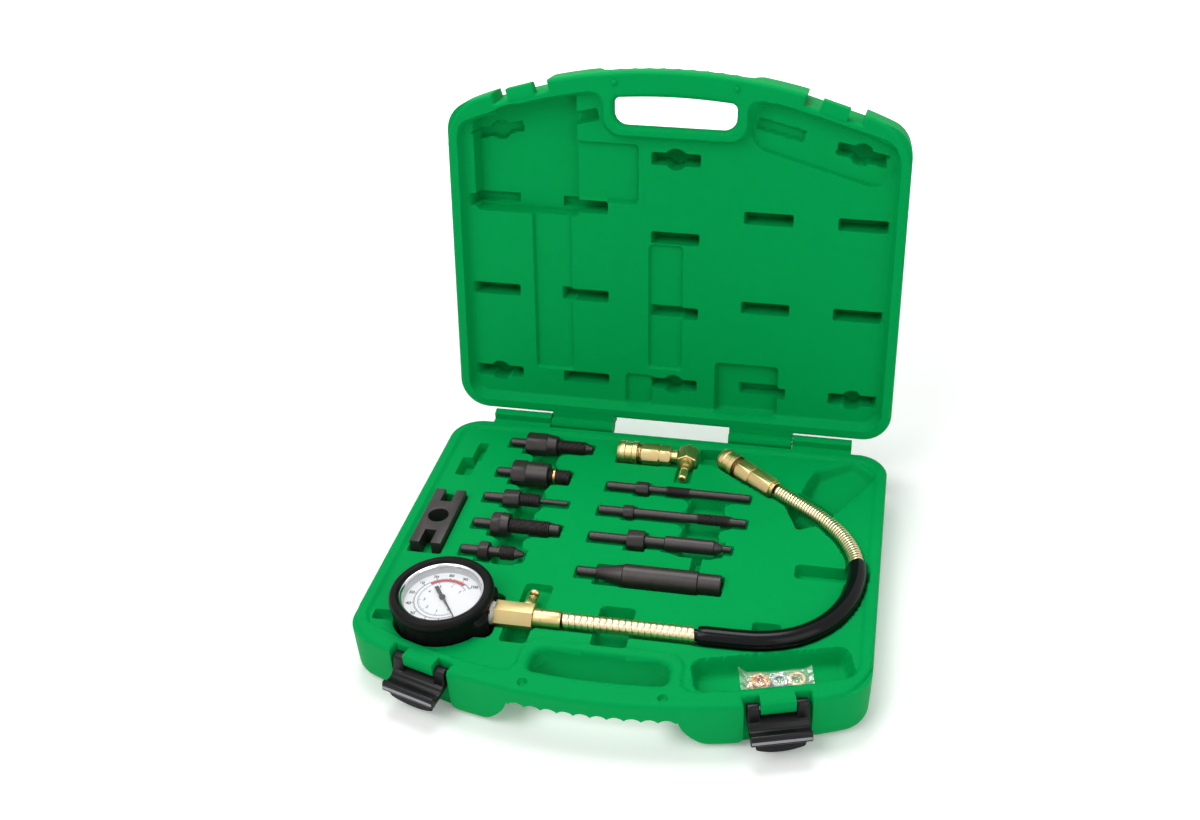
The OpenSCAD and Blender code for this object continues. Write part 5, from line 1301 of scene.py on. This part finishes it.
def boot_part():
    """Rubber boot: an (r, z) profile turned about the gauge's axis. At angle t from the stem its wall gains
    two lobes, 4.4 mm exp(-((t - 0.44) / 0.19) ** 4), loses a notch between them, 2.2 mm exp(-(t / 0.22) **
    6), and away from them loses 0.8 mm in 24 flutes, cos(24 t) ** 3."""
    bow = np.radians(np.linspace(-28, 178, 30))
    c, s = np.cos(bow), np.sin(bow)
    rim = np.stack([33.5 + 3.8 * np.sign(c) * np.abs(c) ** 0.8, 55.9 + 4.2 * s], 1)
    rim[:, 1] = np.where(rim[:, 0] < 32, np.maximum(rim[:, 1], 58.4), rim[:, 1])
    low = [(0.5, 23.0), (20, 23.0), (33.0, 23.0), (34.0, 23.5), (34.9, 24.6), (35.2, 26.2)]
    wall = [(35.2, z) for z in np.linspace(28, 48.0, 9)] + [(35.3, 49.6), (35.6, 51.2), (36.2, 52.8)]
    inside = [(30.0, 57.95), (31.8, 57.95), (31.8, 54.0), (32.65, 53.4), (32.65, 40), (32.65, 25.6),
              (20, 25.5), (0.5, 25.5)]
    r, z = np.concatenate([low, wall, rim, inside]).T[:, :, None]
    a = np.linspace(0, 2 * np.pi, 288, endpoint=False)
    t = np.minimum(a, 2 * np.pi - a)
    outer = np.zeros(r.shape)
    outer[3:len(low) + len(wall) - 2] = 1
    lobes = 4.4 * np.exp(-((t - 0.44) / 0.19) ** 4) * np.clip((50.5 - z) / 2, 0, 1)
    notch = 2.2 * np.exp(-(t / 0.22) ** 6) * np.clip((z - 30) / 3, 0, 1)
    flutes = 0.8 * np.clip(np.cos(24 * a), 0, 1) ** 3 * np.clip((48.5 - z) / 4, 0, 1) * (t > 0.72)
    rad = r + outer * (lobes - notch - flutes)
    points = np.stack([GAUGE_X + rad * np.cos(a), GAUGE_Y + rad * np.sin(a), z + 0 * a], -1)
    return capped_grid(points, len(r), len(a))


def hairspring_part():
    """Flat spiral of four turns, r = 1.3 + 0.75 per turn, of a strip 0.28 by 0.8 mm."""
    f = np.linspace(0, 2 * np.pi * 4, 160)
    out = np.stack([np.cos(f), np.sin(f), 0 * f], 1)
    middle = (1.3 + 0.75 * f / (2 * np.pi))[:, None] * out + np.array([GAUGE_X, GAUGE_Y, TESTER_Z + 2])
    return swept(middle, out, UP, np.array([-0.14, 0.14, 0.14, -0.14]), np.array([0, 0, 0.8, 0.8]))


def ticks(count, major, long, short, width):
    """Ring of radial ticks over the sweep: every major-th is between the long radii, the rest between the
    short."""
    i = np.arange(count + 1)
    a = np.radians(ZERO_TURN - SWEEP * i / count)
    big = (i % major == 0)[:, None]
    r0, r1 = np.where(big, long[0], short[0]), np.where(big, long[1], short[1])
    w = np.where(big, width, width * 0.55) / 2
    r, s = np.hstack([r0, r1, r1, r0]), np.hstack([-w, -w, w, w])
    c, sn = np.cos(a)[:, None], np.sin(a)[:, None]
    points = np.stack([r * c - s * sn, r * sn + s * c, 0 * r], -1).reshape(-1, 3)
    return points, np.arange(len(points)).reshape(-1, 4).tolist()


def ring_part(r0, r1, a0, a1, n=90):
    """Flat arc strip between two radii."""
    rim = np.concatenate([arc_points(0, 0, r, a0, a1, n) for r in (r0, r1)])
    return carried(rim, 0.0, "z"), grid_faces(2, n, False)[:, ::-1].tolist()


def dial_number(name, word, r, a, size, z, finish):
    """A plain number on the dial, upright towards the hinge, its middle at radius r and angle a."""
    curve = bpy.data.curves.new(name, "FONT")
    curve.body, curve.size, curve.align_x, curve.align_y = word, size, "CENTER", "CENTER"
    curve.offset = 0.035 * size
    text = linked(name, curve)
    mesh = evaluated(text)
    bpy.data.objects.remove(text)
    bpy.data.curves.remove(curve)
    c, s = cos_sin(a)
    move_points(mesh, lambda points: points * MM + np.array([GAUGE_X + r * c, GAUGE_Y + r * s, z]))
    mesh.materials.append(MATERIALS[finish])
    mesh.name = name
    declare(linked(name, mesh), "tester", "pointer_black")


def print_scale(z):
    """Printed scale on the dial: an outer ring of ticks and numbers, a fainter inner one, and a red band
    near its end."""
    at = (GAUGE_X, GAUGE_Y, z)
    start, end = ZERO_TURN - SWEEP, ZERO_TURN
    outer = join_parts(ticks(100, 10, (20.1, 21.7), (20.1, 21.0), 0.6), ring_part(19.8, 20.1, start, end))
    inner = join_parts(ticks(70, 10, (15.4, 17.3), (16.2, 17.3), 0.45), ring_part(17.3, 17.7, start, end))
    for name, part, finish in (("dial_outer_scale", outer, "ink"), ("dial_inner_scale", inner, "inner_ink"),
                               ("dial_red_band", ring_part(17.7, 20.1, 54, 134), "band")):
        add_piece(name, placed(part, at), "tester", "pointer_black", finish, 0, False)
    for i in range(11):
        dial_number("dial_outer_number_%d" % i, str(10 * i), 24.0, ZERO_TURN - SWEEP * i / 10, 3.9, z, "ink")
    for i in range(8):
        dial_number("dial_inner_number_%d" % i, str(i), 12.9, ZERO_TURN - SWEEP * i / 7, 3.8, z, "inner_ink")


class TESTERKIT_OT_gauge(bpy.types.Operator):
    """Boot, bezel, lens, dial with its scale, pointer and movement"""
    bl_idname = "testerkit.gauge"
    bl_label = "Gauge"

    def execute(self, context):
        axis = (GAUGE_X, GAUGE_Y, 0)
        for name, finish in (("gauge_case", "enamel"), ("gauge_lens", "lens"), ("gauge_dial", "dial")):
            dress(name, finish)
        for name in ("pointer_pinion", "sector_gear", "sector_link", "bourdon_tube", "movement_plates"):
            dress(name, "brass")
        add_piece("gauge_boot", boot_part(), "tester", "boot_rubber", "boot", 45)
        bezel = [(56.55, 28.2), (56.55, 31.6), (57.6, 31.6), (57.8, 31.2), (57.8, 29.6), (57.4, 28.8)]
        spacer = [(50.1, 27.2), (50.1, 31.6), (54.9, 31.6), (54.9, 29.2), (54.4, 29.0), (50.6, 27.3)]
        for name, profile, slot, finish in (("gauge_bezel", bezel, "bezel_chrome", "chrome"),
                                            ("dial_spacer_ring", spacer, "spacer_grey", "spacer")):
            add_piece(name, upright(turned_ring(profile, 160), axis), "tester", slot, finish)
        edge = np.array([(-12.5, 1.45), (-4, 1.2), (3, 0.8), (23, 0.22)])
        hand = eased(np.concatenate([edge * np.array([1, -1]), edge[::-1]]), 0.6, 4)
        blade = placed(soft_prism(hand, 51.5, 52.1, 0.12, "z"), axis, ZERO_TURN)
        add_piece("gauge_pointer", blade, "pointer", "pointer_black", "ink")
        hub = [(51.3, 0.7), (51.3, 2.2), (52.4, 2.2), (52.7, 2.0), (52.8, 1.2), (53.0, 1.1), (53.1, 0.8),
               (53.1, 0.1)]
        hub = upright(lathe(hub, 40), axis)
        add_piece("pointer_hub", hub, "pointer", "pointer_black", "steel", replaces=False)
        add_piece("hairspring", hairspring_part(), "tester", "pin_steel", "wire")
        print_scale(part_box("gauge_dial")[1][2] / MM + 0.05)
        return {"FINISHED"}


# Washers

def bag_part():
    """Film bag: closed rings along its length. The half height is 0.2 + 2.7 (1 - (u / 0.87)^14)(1 - v^4),
    and creases, ridges (1 - |sin k|) ** 3 along five directions, lift it by up to 1.1 mm. The ends are flat
    seals that curl up, most at their far corners."""
    n = 56
    u = np.linspace(-1, 1, 170)[:, None]
    ring = np.concatenate([np.linspace(-1, 1, n), np.linspace(1, -1, n)[1:-1]])[None]
    top = np.concatenate([np.ones(n), -np.ones(n - 2)])[None]
    x, y = 25.5 * u, 8.8 * ring * (1 - 0.05 * np.cos(5 * u))
    swell = np.clip(1 - np.abs(u / 0.87) ** 14, 0, 1) * (1 - ring ** 4)
    left, right = np.clip((-u - 0.74) / 0.26, 0, 1), np.clip((u - 0.76) / 0.24, 0, 1)
    curl = (6.5 * left ** 1.4 + 4.0 * right ** 1.4) * (0.675 + 0.325 * ring)
    curl = curl + 1.1 * right * np.sin(0.95 * y + 1.3) + 0.6 * left * np.sin(0.8 * y)
    crease = 0 * swell
    for turn, pitch, shift, height in ((0.5, 7.0, 0.3, 0.45), (1.9, 5.3, 1.1, 0.35), (2.7, 9.1, 2.0, 0.5),
                                       (1.1, 3.7, 0.7, 0.22), (0.1, 4.4, 1.7, 0.25)):
        along = np.pi * (x * math.cos(turn) + y * math.sin(turn)) / pitch
        k = along + shift + 0.6 * np.sin(0.31 * x + turn * 3)
        crease = crease + height * (1 - np.abs(np.sin(k))) ** 3
    up = 0.2 + 2.7 * swell + crease * (0.25 + 0.75 * swell)
    z = 3.1 + curl + np.where(top > 0, up, -np.minimum(0.2 + 2.6 * swell, 2.9))
    return capped_grid(np.stack([x + 0 * ring, y, z], -1), len(u), ring.size)


class TESTERKIT_OT_washers(bpy.types.Operator):
    """Bag of washers in the front tray"""
    bl_idname = "testerkit.washers"
    bl_label = "Washers"

    def execute(self, context):
        lay = ((120, -101, TRAY_Z - 14 + SEAT_GAP), 14.0)
        add_piece("washer_bag", placed(bag_part(), *lay), "washer bag", "bag_film", "film", 0)
        flat = [(0, 3.4), (0, 5.5), (0.3, 5.8), (1.2, 5.8), (1.5, 5.5), (1.5, 3.4)]
        seal = [(0, 4.2), (0, 5.9), (0.4, 6.2), (1.1, 6.2), (1.5, 5.9), (1.5, 4.2)]
        for name, profile, places, slot, finish, replaces in (
                ("copper_washers", flat, ((-14, 0.5), (-10, 2.1), (-12, 3.7)), "copper", "copper", True),
                ("zinc_washer", flat, ((1.8, 2.1),), "copper", "wire", False),
                ("seal_rings", seal, ((14, 0.5), (14, 2.1)), "seal_fibre", "fibre", True)):
            rings = join_parts(*(upright(turned_ring(profile, 64), (x, 0, z)) for x, z in places))
            add_piece(name, placed(rings, *lay), "washer bag", slot, finish, replaces=replaces)
        return {"FINISHED"}


class TESTERKIT_PT_panel(bpy.types.Panel):
    bl_idname = "TESTERKIT_PT_panel"
    bl_label = "Tester Kit"
    bl_space_type = "VIEW_3D"
    bl_region_type = "UI"
    bl_category = "Tester Kit"

    def draw(self, context):
        for group in (getattr(context.scene, name) for name in SETTINGS):
            for key in group.bl_rna.properties.keys():
                if key not in {"rna_type", "name"}:
                    self.layout.prop(group, key)
        for operator in OPERATORS:
            self.layout.operator(operator.bl_idname)


SETTINGS = {"testerkit_case": TESTERKIT_case_settings, "testerkit_gauge": TESTERKIT_gauge_settings,
            "testerkit_tool": TESTERKIT_tool_settings}
OPERATORS = (TESTERKIT_OT_stage, TESTERKIT_OT_hose, TESTERKIT_OT_case, TESTERKIT_OT_latches,
             TESTERKIT_OT_fittings, TESTERKIT_OT_adapters, TESTERKIT_OT_gauge, TESTERKIT_OT_washers)


def register():
    for cls in (*SETTINGS.values(), *OPERATORS, TESTERKIT_PT_panel):
        bpy.utils.register_class(cls)
    for name, cls in SETTINGS.items():
        setattr(bpy.types.Scene, name, bpy.props.PointerProperty(type=cls))


def unregister():
    for name in SETTINGS:
        delattr(bpy.types.Scene, name)
    for cls in (TESTERKIT_PT_panel, *reversed(OPERATORS), *reversed(SETTINGS.values())):
        bpy.utils.unregister_class(cls)


def main():
    register()
    for operator in OPERATORS:
        group, name = operator.bl_idname.split(".")
        getattr(getattr(bpy.ops, group), name)()


if __name__ == "__main__":
    main()
